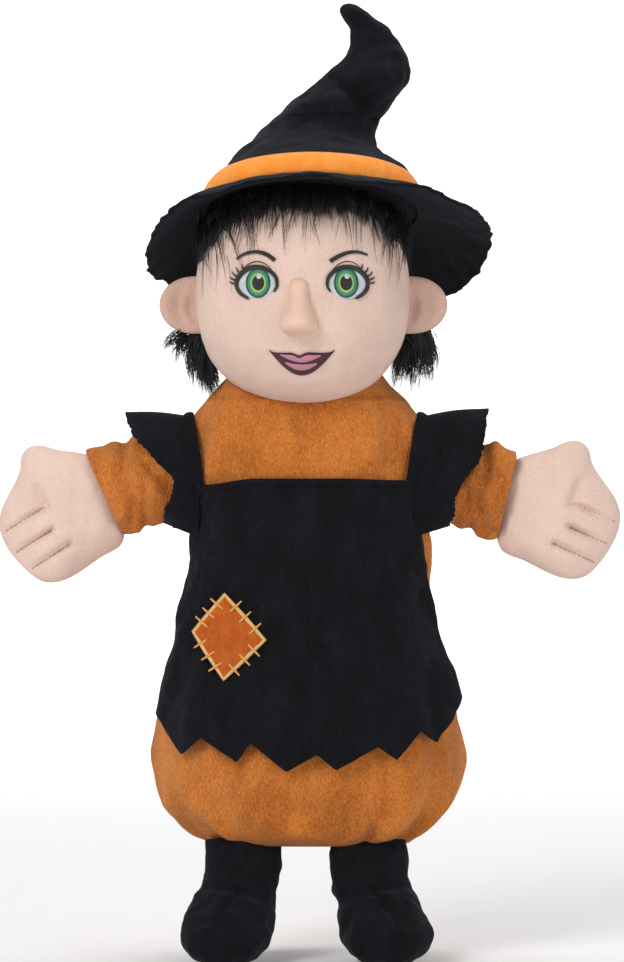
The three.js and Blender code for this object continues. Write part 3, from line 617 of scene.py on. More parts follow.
def cords(name, strokes, radius, material, slot, body, *nodes, sides=1):
    """Threads or strands as one curve object. A stroke is a list of places in millimetres, each with its
    share of the radius."""
    data = bpy.data.curves.new(name, "CURVE")
    data.dimensions = "3D"
    data.bevel_depth = radius * mm
    data.bevel_resolution = sides
    data.use_fill_caps = True
    for stroke in strokes:
        spline = data.splines.new("POLY")
        spline.points.add(len(stroke) - 1)
        for knot, (place, share) in zip(spline.points, stroke):
            knot.co = (*(Vector(place) * mm), 1)
            knot.radius = share
    piece = bpy.data.objects.new(name, data)
    bpy.context.collection.objects.link(piece)
    return sewn(piece, body, material, slot, *nodes)


yellow_thread = embroidery("yellow_thread", srgb(214, 150, 70), srgb(255, 220, 140), 90)


def border_place(u, v):
    point = patch_rim(u)
    outward = (point - patch_middle).normalized()
    point = point + outward * (v * 1.3 - 0.35)
    return on_apron(point.x, point.y, 1.0 + 0.7 * math.sin(math.pi * v))


border = cloth("patch_border", 128, 8, border_place, closed=True, heart=None)
lined(border, 0.5, 0)
sewn(border, "glove", yellow_thread, "yellow_thread", "patch_stitching")
cross_stitches = []
for corner in range(4):
    for share in (0.26, 0.5, 0.76):
        middle = patch_rim((corner + share) / 4)
        a, b = patch_corners[corner], patch_corners[(corner + 1) % 4]
        inward = Vector((-(b - a).y, (b - a).x)).normalized()
        if inward.dot(patch_middle - middle) <= 0:
            inward = -inward
        stroke = []
        for t in (0, 0.2, 0.5, 0.8, 1):
            point = middle + inward * (-3.4 + 6.6 * t)
            place = on_apron(point.x, point.y, 0.7 + 1.5 * math.sin(math.pi * t))
            stroke.append((place, 1 - 0.3 * abs(2 * t - 1)))
        cross_stitches.append(stroke)
cords("patch_cross_stitches", cross_stitches, 0.5, yellow_thread, "yellow_thread", "glove", sides=2)

# ---- Head --------------------------------------------------------------------------------------------
# A ball of short flesh-coloured fleece, stuffed hard, with full cheeks and a small chin. A panel for the
# face and one for the back are seamed over the top behind the ears.
flesh_plush = plush(
    "flesh_fleece", srgb(210, 179, 164), srgb(233, 206, 192), 1700, 45, 0.14, 0.2, (1, 0.9, 0.85), brush=0.3
)
head_side, head_middle = -1.2, 217
head_wide, head_front, head_back, head_low, head_high = 42.3, 38, 34, 41.5, 55
head_set_back, head_fullness = -8, 2.2


def head_size(z):
    """The head's size at a height, as a share of its widest."""
    share = min(0.999, abs(z - head_middle) / (head_low if z < head_middle else head_high))
    return (1 - share ** head_fullness) ** (1 / head_fullness)


def cheeks(x, z):
    """How far the stuffed face stands out over the plain ball."""
    full = 1.6 * near(abs(x) - 21, 12) * near(z - 201, 11)
    chin = 1.4 * near(x, 10) * near(z - 181.5, 6)
    sockets = -1.4 * near(abs(x) - 16.5, 9) * near(z - 223, 8)
    smile = -0.7 * near(x, 12) * near(z - 198.5, 2.6)
    return full + chin + sockets + smile


def face_depth(x, z):
    """The face's surface, as y, at a place in the front view."""
    across = x - head_side
    forward = head_front * math.sqrt(max(0.01, head_size(z) ** 2 - (across / head_wide) ** 2))
    return head_set_back - forward - cheeks(across, z)


def head_point(direction, out=0):
    """A point of the head in a direction from its middle."""
    c = math.sqrt(max(1e-9, 1 - direction.z ** 2))
    z = head_middle + ((head_low if direction.z < 0 else head_high) + out) * math.copysign(
        abs(direction.z) ** (2 / head_fullness), direction.z
    )
    size = c ** (2 / head_fullness)
    across, b = (head_wide + out) * size * direction.x / c, direction.y / c
    y = head_set_back + ((head_front if b < 0 else head_back) + out) * size * b
    if b < 0:
        y -= cheeks(across, z) * steady(0, 0.5, -b)
    return Vector((head_side + across, y, z))


def ball(name, sides, rings, place):
    """A closed stuffed form. place turns a direction into millimetres."""
    bm = bmesh.new()
    bmesh.ops.create_uvsphere(bm, u_segments=sides, v_segments=rings, radius=1)
    for vert in bm.verts:
        vert.co = Vector(place(vert.co.normalized())) * mm
    bmesh.ops.recalc_face_normals(bm, faces=bm.faces)
    return finished(name, bm)


def head_place(direction):
    point = head_point(direction)
    seam = -0.9 * near(point.y + 4, 1.3) * steady(-0.9, -0.5, direction.z)
    soft = 0.35 * ripple(point.x, point.y, point.z, 16) + 0.12 * ripple(point.x, point.y, point.z, 5)
    return head_point(direction, seam + soft)


head = ball("head_skin", 150, 110, head_place)
sewn(head, "head", flesh_plush, "flesh_plush", "face_panel", "head_back_panel", "head_filling")

nose_plush = plush(
    "nose_fleece", srgb(222, 181, 160), srgb(240, 203, 184), 1700, 60, 0.14, 0.2, (1, 0.88, 0.8), brush=0.3
)

nose_side = -2.7
# Height, half width and how far it stands out.
nose_rows = (
    (201.7, 0.2, 2.5), (202.4, 4.6, 6.5), (204, 6.6, 9.4), (206.4, 7.1, 10.6), (209, 6.4, 9.8),
    (212.5, 4.9, 7.6), (217, 3.8, 5.2), (221, 3.6, 3.8), (223, 2.7, 2.4), (223.9, 0.2, 0.6),
)


def nose_place(direction):
    z = 212.8 + 11.1 * direction.z
    wide, out = along(nose_rows, z)
    c = math.sqrt(max(1e-9, 1 - direction.z ** 2))
    forward = direction.y / c
    y = face_depth(nose_side, z) + forward * (out if forward < 0 else 2)
    return Vector((nose_side + direction.x / c * max(0, wide), y, z))


nose = ball("nose_ball", 48, 44, nose_place)
sewn(nose, "head", nose_plush, "nose_plush", "nose")

# The ears wear the face's fleece painted darker. This is painted shade for the shadow that falls on the ears
# beside the head and under the hair, not a different cloth.
shaded_ear_plush = plush(
    "ear_fleece_painted_shade", srgb(190, 155, 138), srgb(216, 182, 166), 1700, 60, 0.14, 0.2, (1, 0.88, 0.8), brush=0.3
)
for name, side in (("left", 1), ("right", -1)):

    def ear_place(direction):
        # The lobe is flat and has a bowl in front, with a fold of cloth standing in it by the cheek.
        wide = 14.9 if side > 0 else 14.5
        reach = wide * abs(direction.x) ** 0.9 * math.copysign(1, direction.x * side)
        x = head_side + side * (head_wide + reach)
        z = 215 + 11.4 * direction.z
        y = -6.5 + 3.8 * direction.y
        across = abs(x - head_side) - head_wide
        bowl = near(math.hypot((across - 4.2) / 6.2, (z - 214.5) / 7.6), 1)
        fold = near(across - 4.6 + (z - 215) ** 2 * 0.035, 1.3) * near(z - 214, 6)
        if direction.y < 0:
            y += 4.8 * bowl - 3.0 * fold
        return Vector((x, y, z))

    ear = ball(f"ear_{name}_lobe", 64, 48, ear_place)
    sewn(ear, "head", shaded_ear_plush, "flesh_plush", f"ear_{name}")

# ---- Face embroidery ---------------------------------------------------------------------------------
# Eyes, brows and mouth are machine satin stitch on the face panel, in coloured rayon threads.
white_thread = embroidery("white_thread", srgb(205, 216, 220), srgb(240, 247, 250), 60)
teal_thread = embroidery("teal_thread", srgb(18, 66, 68), srgb(44, 106, 104), 46)
green_thread = embroidery("green_thread", srgb(40, 130, 88), srgb(90, 178, 124), 46)
lime_thread = embroidery("lime_thread", srgb(150, 200, 84), srgb(205, 238, 140), 40)
dark_thread = embroidery("dark_thread", srgb(14, 8, 9), srgb(40, 27, 28), 60)
wine_thread = embroidery("wine_thread", srgb(52, 3, 17), srgb(92, 16, 38), 70)
pink_thread = embroidery("pink_thread", srgb(196, 112, 144), srgb(238, 168, 194), 44)


def on_face(x, z, out):
    return Vector((x, face_depth(x, z) - out, z))


def stitched_disc(name, middle, size, inner, rise, material, slot, *nodes, lean=0):
    """A stitched ring or disc on the face, from a share of its size outwards."""

    def place(u, v):
        share = inner + (1 - inner) * v
        a = tau * u
        x = middle[0] + size[0] * share * math.cos(a)
        z = middle[1] + size[1] * share * math.sin(a) * (1 - lean * math.cos(a) ** 2)
        return on_face(x, z, rise + 0.12 * math.sin(math.pi * v))

    piece = cloth(name, 48, 6, place, closed=True, heart=None)
    lined(piece, 0.5, 0)
    return sewn(piece, "head", material, slot, *nodes)


def stitched_band(name, line, widths, rise, material, slot, *nodes):
    """A stitched line on the face through a few places, with its width at each."""
    rows = [(k, x, z, w) for k, ((x, z), w) in enumerate(zip(line, widths))]

    def place(u, v):
        x, z, width = along(rows, u * (len(rows) - 1))
        x1, z1, _ = along(rows, min(len(rows) - 1, u * (len(rows) - 1) + 0.05))
        x0, z0, _ = along(rows, max(0, u * (len(rows) - 1) - 0.05))
        across = Vector((-(z1 - z0), x1 - x0)).normalized() * width * (v - 0.5)
        return on_face(x + across.x, z + across.y, rise + 0.25 * math.sin(math.pi * v))

    piece = cloth(name, 40, 6, place, heart=None)
    lined(piece, 0.4, 0)
    return sewn(piece, "head", material, slot, *nodes)


eye_level = 222.1
for name, side, x in (("left", 1, 15.6), ("right", -1, -18.4)):
    stitched_disc(
        f"eye_white_{name}_stitch", (x + side * 0.6, eye_level - 0.3), (7.5, 5.9), 0, 0.2,
        white_thread, "white_thread", f"eye_white_{name}", lean=0.14,
    )
    # From the iris's dark rim inwards to the pupil, each disc lies a little over the one before.
    for disc, size, inner, rise, thread, slot, *nodes in (
        (f"iris_{name}_rim", (4.8, 5.9), 0.5, 0.42, teal_thread, "green_thread", f"iris_{name}"),
        (f"iris_{name}_green", (4.0, 5.0), 0.4, 0.62, green_thread, "green_thread"),
        (f"iris_{name}_ring", (3.0, 3.8), 0.3, 0.76, lime_thread, "green_thread"),
        (f"pupil_{name}_stitch", (2.35, 2.95), 0, 0.95, dark_thread, "dark_thread", f"pupil_{name}"),
    ):
        stitched_disc(disc, (x, eye_level), size, inner, rise, thread, slot, *nodes)
    stitched_disc(
        f"eye_glint_{name}", (x + 0.3, eye_level + 2.5), (0.9, 0.9), 0, 1.25, white_thread, "white_thread"
    )

    def lid_at(angle, wide=8.0, high=6.5):
        a = math.radians(angle)
        up = high * math.sin(a) * (1 - 0.12 * math.cos(a) ** 2)
        return (x + side * (0.6 + wide * math.cos(a)), eye_level - 0.2 + up)

    stitched_band(
        f"lash_line_{name}_stitch", [lid_at(a) for a in (-10, 15, 45, 75, 105, 135, 160, 188)],
        (1.2, 1.6, 1.8, 1.7, 1.5, 1.4, 1.2, 0.9), 0.75, dark_thread, "dark_thread", f"lash_line_{name}",
    )
    stitched_band(
        f"lower_lid_{name}_stitch", [lid_at(a) for a in (-4, -22, -42, -66)],
        (1.3, 1.4, 1.3, 0.8), 0.7, dark_thread, "dark_thread",
    )
    stitched_band(
        f"inner_lid_{name}_stitch", [lid_at(a) for a in (180, 196, 214)],
        (0.9, 0.7, 0.4), 0.7, dark_thread, "dark_thread",
    )
    lashes = []
    for angle, length in ((2, 2.4), (14, 2.8), (27, 3.0), (40, 2.8), (54, 2.4)):
        root = Vector(lid_at(angle, 8.5, 7.0))
        spread = Vector((side * math.cos(math.radians(angle + 16)), math.sin(math.radians(angle + 16))))
        tip = root + spread * length
        bend = root.lerp(tip, 0.5) + Vector((side * 0.3, -0.2))
        lashes.append([(on_face(p.x, p.y, 0.5), w) for p, w in ((root, 1), (bend, 0.9), (tip, 0.4))])
    cords(f"lashes_{name}", lashes, 0.38, dark_thread, "dark_thread", "head")
    crease = [on_face(*lid_at(a, 7.6, 8.6), 0.3) for a in range(36, 145, 9)]
    cords(
        f"lid_crease_{name}", [[(p, 0.6 + 0.4 * math.sin(math.pi * k / 12)) for k, p in enumerate(crease)]],
        0.22, wine_thread, "plum_thread", "head",
    )
    if side < 0:
        brow = [(-27, 231.6), (-23.5, 233.6), (-19.3, 234.2), (-15.4, 233.2), (-12, 230.8)]
    else:
        brow = [(24, 233.2), (20.4, 234.2), (16.6, 233.9), (12.8, 232.4), (9.4, 230.4)]
    stitched_band(
        f"brow_{name}_stitch", brow, (0.5, 0.95, 1.2, 1.45, 1.5), 0.5,
        dark_thread, "dark_thread", f"brow_{name}",
    )

mouth_start, mouth_wide, mouth_high = -14.1, 25.2, 196.2


def mouth_lines(share):
    """The heights of the mouth's upper edge, of the line between the lips and of its lower edge."""
    arch = math.sin(math.pi * share)
    top = mouth_high - 0.9 * arch - 1.3 * near(share - 0.46, 0.08)
    return top, mouth_high - 5.1 * arch ** 0.9, mouth_high - 9.7 * arch ** 0.75


def mouth_part(name, shares, edges, rise, material, slot, node):
    """A stitched area of the mouth. edges turns the heights at a share into its lower and upper edge."""

    def place(u, v):
        share = shares[0] + (shares[1] - shares[0]) * u
        low, high = edges(*mouth_lines(share))
        pinch = math.sin(math.pi * u) ** 0.45
        middle = (low + high) / 2
        half = max(0.02, (high - low) / 2) * pinch
        z = middle + half * (2 * v - 1)
        return on_face(mouth_start + mouth_wide * share, z, rise + 0.35 * math.sin(math.pi * v) * pinch)

    return sewn(lined(cloth(name, 60, 8, place, heart=None), 0.4, 0), "head", material, slot, node)


mouth_part(
    "lip_outline_stitch", (0, 1), lambda top, middle, bottom: (bottom, top), 0.25,
    wine_thread, "plum_thread", "lip_outline",
)
mouth_part(
    "upper_lip_stitch", (0.17, 0.79), lambda top, middle, bottom: (middle + 0.4, top - 1.0), 0.65,
    pink_thread, "pink_thread", "upper_lip",
)
mouth_part(
    "lower_lip_stitch", (0.24, 0.73), lambda top, middle, bottom: (bottom + 1.9, middle - 0.5), 0.65,
    pink_thread, "pink_thread", "lower_lip",
)

# ---- Hair --------------------------------------------------------------------------------------------
# Long-pile black fur cloth: a strip along the hat's front edge combed down as a fringe, a piece round the
# back of the head, and a shaggy tuft under each ear.
fur_strand, fur_tree = painted("black_fur_pile")
fur_tone = added(
    fur_tree, "ShaderNodeTexNoise",
    {"Vector": own_place(fur_tree), "Scale": 420, "Detail": 2},
).outputs["Fac"]
wired(fur_tree, fur_tree.nodes["Principled BSDF"], {
    "Base Color": two_tones(fur_tree, fur_tone, (0.004, 0.004, 0.0045), (0.03, 0.028, 0.03)),
    "Roughness": 0.42,
    "Specular IOR Level": 0.35,
})


def hair_root(angle, height, out):
    """A point over the head, at an angle from the puppet's left round the back, and a height."""
    size = head_size(height)
    c, s = math.cos(math.radians(angle)), math.sin(math.radians(angle))
    deep = head_back if s > 0 else head_front
    x = head_side + (head_wide * size + out) * c
    return Vector((x, head_set_back + (deep * size + out) * s, height))


def jitter(across, deep, up):
    """A small chance move, with its usual size in each direction."""
    return Vector((chance.gauss(0, across), chance.gauss(0, deep), chance.gauss(0, up)))


def lock(root, tip, bend, count, spread):
    """The strands of one lock of hair, which start side by side and meet towards the tip."""
    strands = []
    for _ in range(count):
        start = root + jitter(spread, 0.5 * spread, spread)
        end = root.lerp(tip, chance.uniform(0.72, 1.04))
        end += jitter(0.5, 0.5, 0.4)
        sway = bend + jitter(0.6, 0.5, 0.3)
        strand = []
        for k in range(8):
            share = k / 7
            strand.append((start.lerp(end, share) + sway * math.sin(math.pi * share), 1 - 0.9 * share ** 2))
        strands.append(strand)
    return strands


def backing_place(u, v):
    angle = 20 + 140 * u
    height = 194 + 58 * v
    return hair_root(angle, height, 1.2 + 1.2 * math.sin(math.pi * u) + 0.5 * ripple(angle, height, 0, 7))


hair_backing = lined(cloth("hair_back_cloth", 80, 40, backing_place, heart=(0, head_set_back)), 1.6, 0)
sewn(hair_backing, "head", fur_strand, "black_fur", "hair_back")


def fringe_foot(x):
    """The height that the thick of the fringe hangs to at a place across the face."""
    return 251.5 - 22 * max(0, (abs(x) - 19) / 22) ** 1.3


def fringe_place(u, v):
    x = head_side + 41.6 * math.sin(math.pi * (u - 0.5))
    top, foot = 268 - 14 * (abs(x) / 42) ** 2.4, fringe_foot(x) + 3.5 + 1.5 * ripple(x, 0, 0, 2.5)
    z = foot + (top - foot) * v
    return (x, face_depth(x, z) - 1.1 - 0.5 * math.sin(math.pi * v) - 0.3 * ripple(x, 0, z, 5), z)


fringe_backing = lined(cloth("hair_fringe_cloth", 110, 16, fringe_place, heart=(0, head_set_back)), 1, 0)
sewn(fringe_backing, "head", fur_strand, "black_fur")

chance = random.Random(7)
fringe = []
for count in range(330):
    x = chance.uniform(-41, 39)
    sideways = abs(x - head_side) / 42
    z = 265 - 15 * sideways ** 2.4 + chance.uniform(-9, 1)
    foot = fringe_foot(x) + chance.gauss(-2.2, 2)
    drift = chance.gauss(0, 2.4) + 3 * (x / 42)
    strands = chance.randint(7, 12)
    if count % 4 == 0:
        foot -= chance.uniform(4, 15)
        drift = chance.gauss(0, 4)
        strands = chance.randint(2, 5)
    if x > 28 or x < -28:
        foot = max(foot, 212)
    tip_x = max(-41.8, min(39.4, x + drift))
    bend_x = chance.gauss(0, 1.5)
    root = Vector((x, face_depth(x, z) - 1.4, z))
    tip = Vector((tip_x, face_depth(tip_x, foot) - chance.uniform(0.5, 1.6), foot))
    # The hair lies over the curve of the forehead.
    mid_x, mid_z = (x + tip_x) / 2, (z + foot) / 2
    over = face_depth(mid_x, mid_z) - chance.uniform(1.6, 3.4) - (root.y + tip.y) / 2
    fringe += lock(root, tip, Vector((bend_x, min(0, over), 0)), strands, 1.1)
cords("hair_fringe_strands", fringe, 0.14, fur_strand, "black_fur", "head", "hair_fringe", sides=0)

nape = []
for _ in range(280):
    angle = chance.uniform(18, 162)
    height = chance.uniform(203, 254)
    foot = max(190, height - chance.uniform(14, 27))
    root = hair_root(angle, height, 1.4)
    tip = hair_root(angle + chance.gauss(0, 5), foot, chance.uniform(2.4, 5.5))
    fluff = Vector((root.x - head_side, root.y - head_set_back, 0)).normalized() * chance.uniform(1.4, 2.8)
    nape += lock(root, tip, fluff, 9, 1.5)
cords("hair_back_strands", nape, 0.17, fur_strand, "black_fur", "head", sides=0)

# The lowest tip of each tuft, then its outline: height and how far out.
tuft_outlines = {
    "left": (179, ((180, 43), (188, 48), (195, 49), (201, 50))),
    "right": (175, ((176, 37), (184, 43), (192, 50), (201, 54))),
}
for name, side in (("left", 1), ("right", -1)):
    tuft = []
    lowest, outline = tuft_outlines[name]
    for _ in range(95):
        z = chance.uniform(lowest, 199)
        out = chance.uniform(33.5, along(outline, z)[0] + 5)
        root = Vector((side * (36 + (out - 33) * 0.5), chance.uniform(-5, 9), chance.uniform(199, 210)))
        tip = Vector((side * (out + chance.gauss(0, 0.8)), root.y + chance.gauss(-1, 2.5), z))
        bend = Vector((side * chance.uniform(0.5, 2.6), chance.gauss(0, 0.8), 0.6))
        tuft += lock(root, tip, bend, 10, 1.3)
    cords(
        f"hair_tuft_{name}_strands", tuft, 0.17, fur_strand, "black_fur", "head", f"hair_tuft_{name}", sides=0
    )

# ---- Hat ---------------------------------------------------------------------------------------------
# A crooked cone of black velour, lightly stuffed, that folds over at two creases, with a band of bright felt
# and a floppy brim of one cloth that rises in front, falls behind and curls at both sides.
hat_lean = math.tan(math.radians(17))
hat_base_height, hat_base_back, hat_rise = 252, -6, 83.2
# Height, left edge and right edge in the front view.
hat_rows = (
    (252, -40.6, 44.8), (257, -39.8, 44.9), (262, -37.8, 43.2), (268, -32.9, 38.8), (275.5, -26.6, 30.6),
    (282, -20, 27), (288.5, -13.2, 28), (296.5, -5, 36), (304.5, 4.6, 40.7), (312.5, 13.6, 40.2),
    (318.5, 17.6, 37.8), (325, 17.4, 32.6), (329.5, 14.4, 28), (332.5, 13.4, 23.6),
    (334.6, 14.6, 20), (335.2, 16.6, 17.6),
)


def crease_dent(x, z):
    """How far the cloth sinks along the two folds of the crook."""
    first = Vector((x - 7.9, z - 306.9)).dot(Vector((0.71, 0.70)))
    on_first = steady(-3, 3, x - 5) * steady(32, 24, x)
    second = z - (317 + (x - 17) * 0.1)
    return 3.0 * near(first, 2.6) * on_first + 1.5 * near(second, 2.2) * steady(14, 20, x)


def hat_point(turn, height, out=0):
    """turn is 0 at the right edge of the front view and 0.75 in front."""
    left, right = along(hat_rows, height)
    wide = (right - left) / 2
    deep = wide * (0.89 if height < 290 else 0.92)
    back = along(((252, -6), (275, -1), (290, 2), (300, 3), (335, 1)), height)[0]
    c, s = math.cos(tau * turn), math.sin(tau * turn)
    x = (left + right) / 2 + (wide + out) * c
    y = back + (deep + out) * s
    level = steady(292, 256, height)
    z = height - (y - back) * hat_lean * level
    pinch = crease_dent(x, height) * steady(0.3, -0.4, s)
    y += pinch - 0.6 * pinch * steady(-0.2, 0.6, s)
    crumple = (1.2 * ripple(x, y, z, 11) + 0.6 * ripple(x, y, z, 5)) * steady(258, 270, height)
    crumple *= steady(0, 8, wide)
    return Vector((x + crumple * c, y + crumple * s, z))


hat = cloth(
    "hat_crown_cloth", 120, 140, lambda u, v: hat_point(u, hat_base_height + hat_rise * v),
    closed=True, heart=(10, 0),
)
bm = bmesh.new()
bm.from_mesh(hat.data)
bmesh.ops.holes_fill(bm, edges=[e for e in bm.edges if e.is_boundary], sides=0)
bmesh.ops.triangulate(bm, faces=[f for f in bm.faces if len(f.verts) > 4])
bm.to_mesh(hat.data)
bm.free()
sewn(hat, None, black_velour, "black_velour", "hat_crown", "hat_tip", "hat_filling")
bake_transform(hat)

orange_felt = plush(
    "orange_felt", srgb(250, 136, 42), srgb(255, 170, 80), 1600, 200, 0.12, 0.25, (1, 0.8, 0.6), brush=0.4
)
band = cloth(
    "hat_band_felt", 160, 8, lambda u, v: hat_point(u, 252.8 + 10.4 * v, 1.3 - 0.5 * abs(2 * v - 1) ** 3),
    closed=True, heart=(0, hat_base_back),
)
lined(band, 1.1)
sewn(band, "head", orange_felt, "orange_felt", "hat_band")

# Turn, reach beyond the crown, and fall below the base of the hat.
brim_rows = (
    (-0.2, 26, 12.5), (-0.1, 27, 15), (0, 29.5, 10.5), (0.07, 29, 17), (0.125, 27, 17.5), (0.2, 25, 13),
    (0.3, 25, 13), (0.4, 24.5, 16), (0.46, 24, 20), (0.5, 23.5, 17), (0.55, 22.5, 12.5), (0.6, 22, 10.5),
    (0.65, 21, 9), (0.7, 20, 8), (0.75, 19.5, 7), (0.8, 20, 7.5), (0.85, 22, 8), (0.9, 25, 8), (0.95, 28, 8),
    (1, 29.5, 10.5), (1.07, 29, 17),
)


def brim_place(u, v):
    reach, fall = along(brim_rows, u + 0.0001)
    c, s = math.cos(tau * u), math.sin(tau * u)
    root_x, root_y = 2.1 + 42.0 * c, hat_base_back + 37.4 * s
    ragged = 0.8 * ripple(c * 90, s * 90, 0, 4) * steady(0.85, 1, v)
    x = root_x + (reach * v + ragged) * c
    y = root_y + (reach * v + ragged) * s
    waves = 1.2 * math.sin(tau * 7 * u + 0.8) + 1.3 * ripple(c * 60, s * 60, 9, 14)
    waves *= 1 - 0.5 * near(u - 0.75, 0.12)
    z = hat_base_height - (y - hat_base_back) * hat_lean - fall * v ** 1.7 + waves * v * v
    z += 0.5 * ripple(x, y, 0, 6) * v
    return (x, y, z)


brim = cloth("hat_brim_cloth", 240, 40, brim_place, closed=True, heart=None)
if sum(polygon.normal.z for polygon in brim.data.polygons) < 0:
    brim.data.flip_normals()
lined(brim, 1.4)
sewn(brim, "head", black_velour, "black_velour", "hat_brim")

# ---- Arms --------------------------------------------------------------------------------------------
# Short sleeves of the same plush, set into the sides of the frock. Each ends in a hem that is turned in and
# holds the wrist of a stuffed mitten. The mitten's fingers are marked by lines of stitching.
# Along the arm, half height and half depth.
sleeve_rows = (
    (-6, 11, 9), (4, 14.5, 11.5), (14, 16.4, 13), (24, 17.4, 13.2), (32, 17.6, 12.6), (36, 17.2, 12),
)
hem_start = 0.88
arm_drops = {"left": 18, "right": 16.5}
cuff_turns = {"left": -5, "right": 8}
for name, side in (("left", 1), ("right", -1)):
    shoulder_place = Matrix.Translation((side * 45, 0, 151)) @ Matrix.Diagonal((side, 1, 1, 1))
    arm_place = shoulder_place @ Matrix.Rotation(math.radians(arm_drops[name]), 4, "Y")

    def sleeve_place(u, v):
        # The hem turns in over the last part.
        length = -6 + 42 * min(1, v / hem_start)
        tuck = max(0, (v - hem_start) / (1 - hem_start))
        high, deep = along(sleeve_rows, length)
        length += 1.2 * math.sin(math.pi * tuck) - 5 * tuck * tuck
        inwards = 1.6 * (1 - math.cos(math.pi * min(1, tuck * 1.2))) / 2 + 1.2 * tuck
        c, s = math.cos(tau * u), math.sin(tau * u)
        seed = 40 * side
        soft = 1.3 * ripple(length * 1.5, c * 16 + seed, s * 16, 9)
        soft += 0.5 * ripple(length, c * 16 + seed, s * 16, 4.5)
        front = steady(0.3, -0.4, c)
        crease = 4.2 * near(length - 26.5 + 3 * s - 1.2 * math.sin(5 * s), 2.4) * steady(-0.9, -0.5, s)
        crease += 3.4 * near(length - 14 - 8 * s, 2.6) * steady(0.9, 0.2, s) * steady(-0.95, -0.4, s)
        crease += 2.4 * near(length - 19 + 7 * s, 2.2) * steady(0.1, -0.3, s)
        soft = max(-2.6, soft + front * (1.1 - crease))
        gather = 0.6 * math.sin(tau * 11 * u + seed) * near(length - 35, 6)
        out = (soft + gather) * steady(-4, 6, length) - inwards
        shear = math.tan(math.radians(cuff_turns[name])) * steady(15, 36, length)
        return arm_place @ Vector((length + shear * high * s, (deep + out) * c, (high + out) * s))

    sleeve = cloth(f"sleeve_{name}_cloth", 110, 70, sleeve_place, closed=True, heart=None)
    lined(sleeve, 0.8)
    sewn(sleeve, None, orange_plush, "orange_plush", f"sleeve_{name}", f"cuff_{name}", f"armhole_seam_{name}")
    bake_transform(sleeve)

# The mitten's edge from the wrist, over the thumb and round the fingers, from the middle of the wrist.
mitten_rows = (
    (0, 2.5, 17.2), (1, 9.5, 19.4), (2, 15.9, 21.2), (3, 22.4, 23.9), (4, 27.7, 23.8), (5, 31, 20.4),
    (6, 32, 15.8), (7, 34.4, 11.4), (8, 38, 6.4), (9, 41.6, 0.8), (10, 43.4, -5.3),
    (11, 42.4, -12), (12, 39.2, -18.8),
    (13, 34.8, -24.9), (14, 30, -29.4), (15, 24.6, -30.8), (16, 18.4, -29.8), (17, 12, -27), (18, 5.4, -23.6),
    (19, -3.5, -19.6), (20, -6, -12), (21, -6, -2), (22, -4.5, 9), (23, 2.5, 17.2),
)
finger_lines = (((24, -0.6), (41.2, -8)), ((22.6, -10), (38, -16.8)), ((16.4, -16.6), (33, -24.2)))
thumb_crease = ((26.5, 7), (24, -0.6))
mitten_middle = Vector((17, -3.5))
rim_table = []
for k in range(461):
    spoke = Vector(along(mitten_rows, k / 20)) - mitten_middle
    rim_table.append((math.atan2(spoke.y, spoke.x), spoke.length))
rim_table.sort()


def rim_at(turn):
    """The mitten's edge in a direction from its middle."""
    wanted = (turn * tau + math.pi) % tau - math.pi
    index = bisect.bisect(rim_table, (wanted, 0))
    (a0, r0), (a1, r1) = rim_table[index - 1], rim_table[index % len(rim_table)]
    share = 0.5 if a1 <= a0 or wanted < a0 else min(1, (wanted - a0) / (a1 - a0))
    reach = r0 + (r1 - r0) * share
    return mitten_middle + Vector((math.cos(wanted), math.sin(wanted))) * reach


def line_distance(x, z, line):
    a, b, p = Vector(line[0]), Vector(line[1]), Vector((x, z))
    share = min(1, max(0, (p - a).dot(b - a) / (b - a).length_squared))
    return (p - a.lerp(b, share)).length


def mitten_half(x, z, edge_share):
    """Half the thickness of the mitten, where edge_share is 0 at the middle and 1 at the seam."""
    dome = math.sqrt(max(0, 1 - edge_share ** 2.4))
    high = 10.6 * dome * (1 - 0.18 * steady(20, 44, x)) * (1 - 0.12 * near(x - 27, 8) * near(z - 18, 8))
    pinch = max(near(line_distance(x, z, line), 1.2) for line in finger_lines) * 0.36
    pinch = max(pinch, 0.32 * near(line_distance(x, z, thumb_crease), 2.2))
    return max(0.05, high * (1 - pinch * dome))


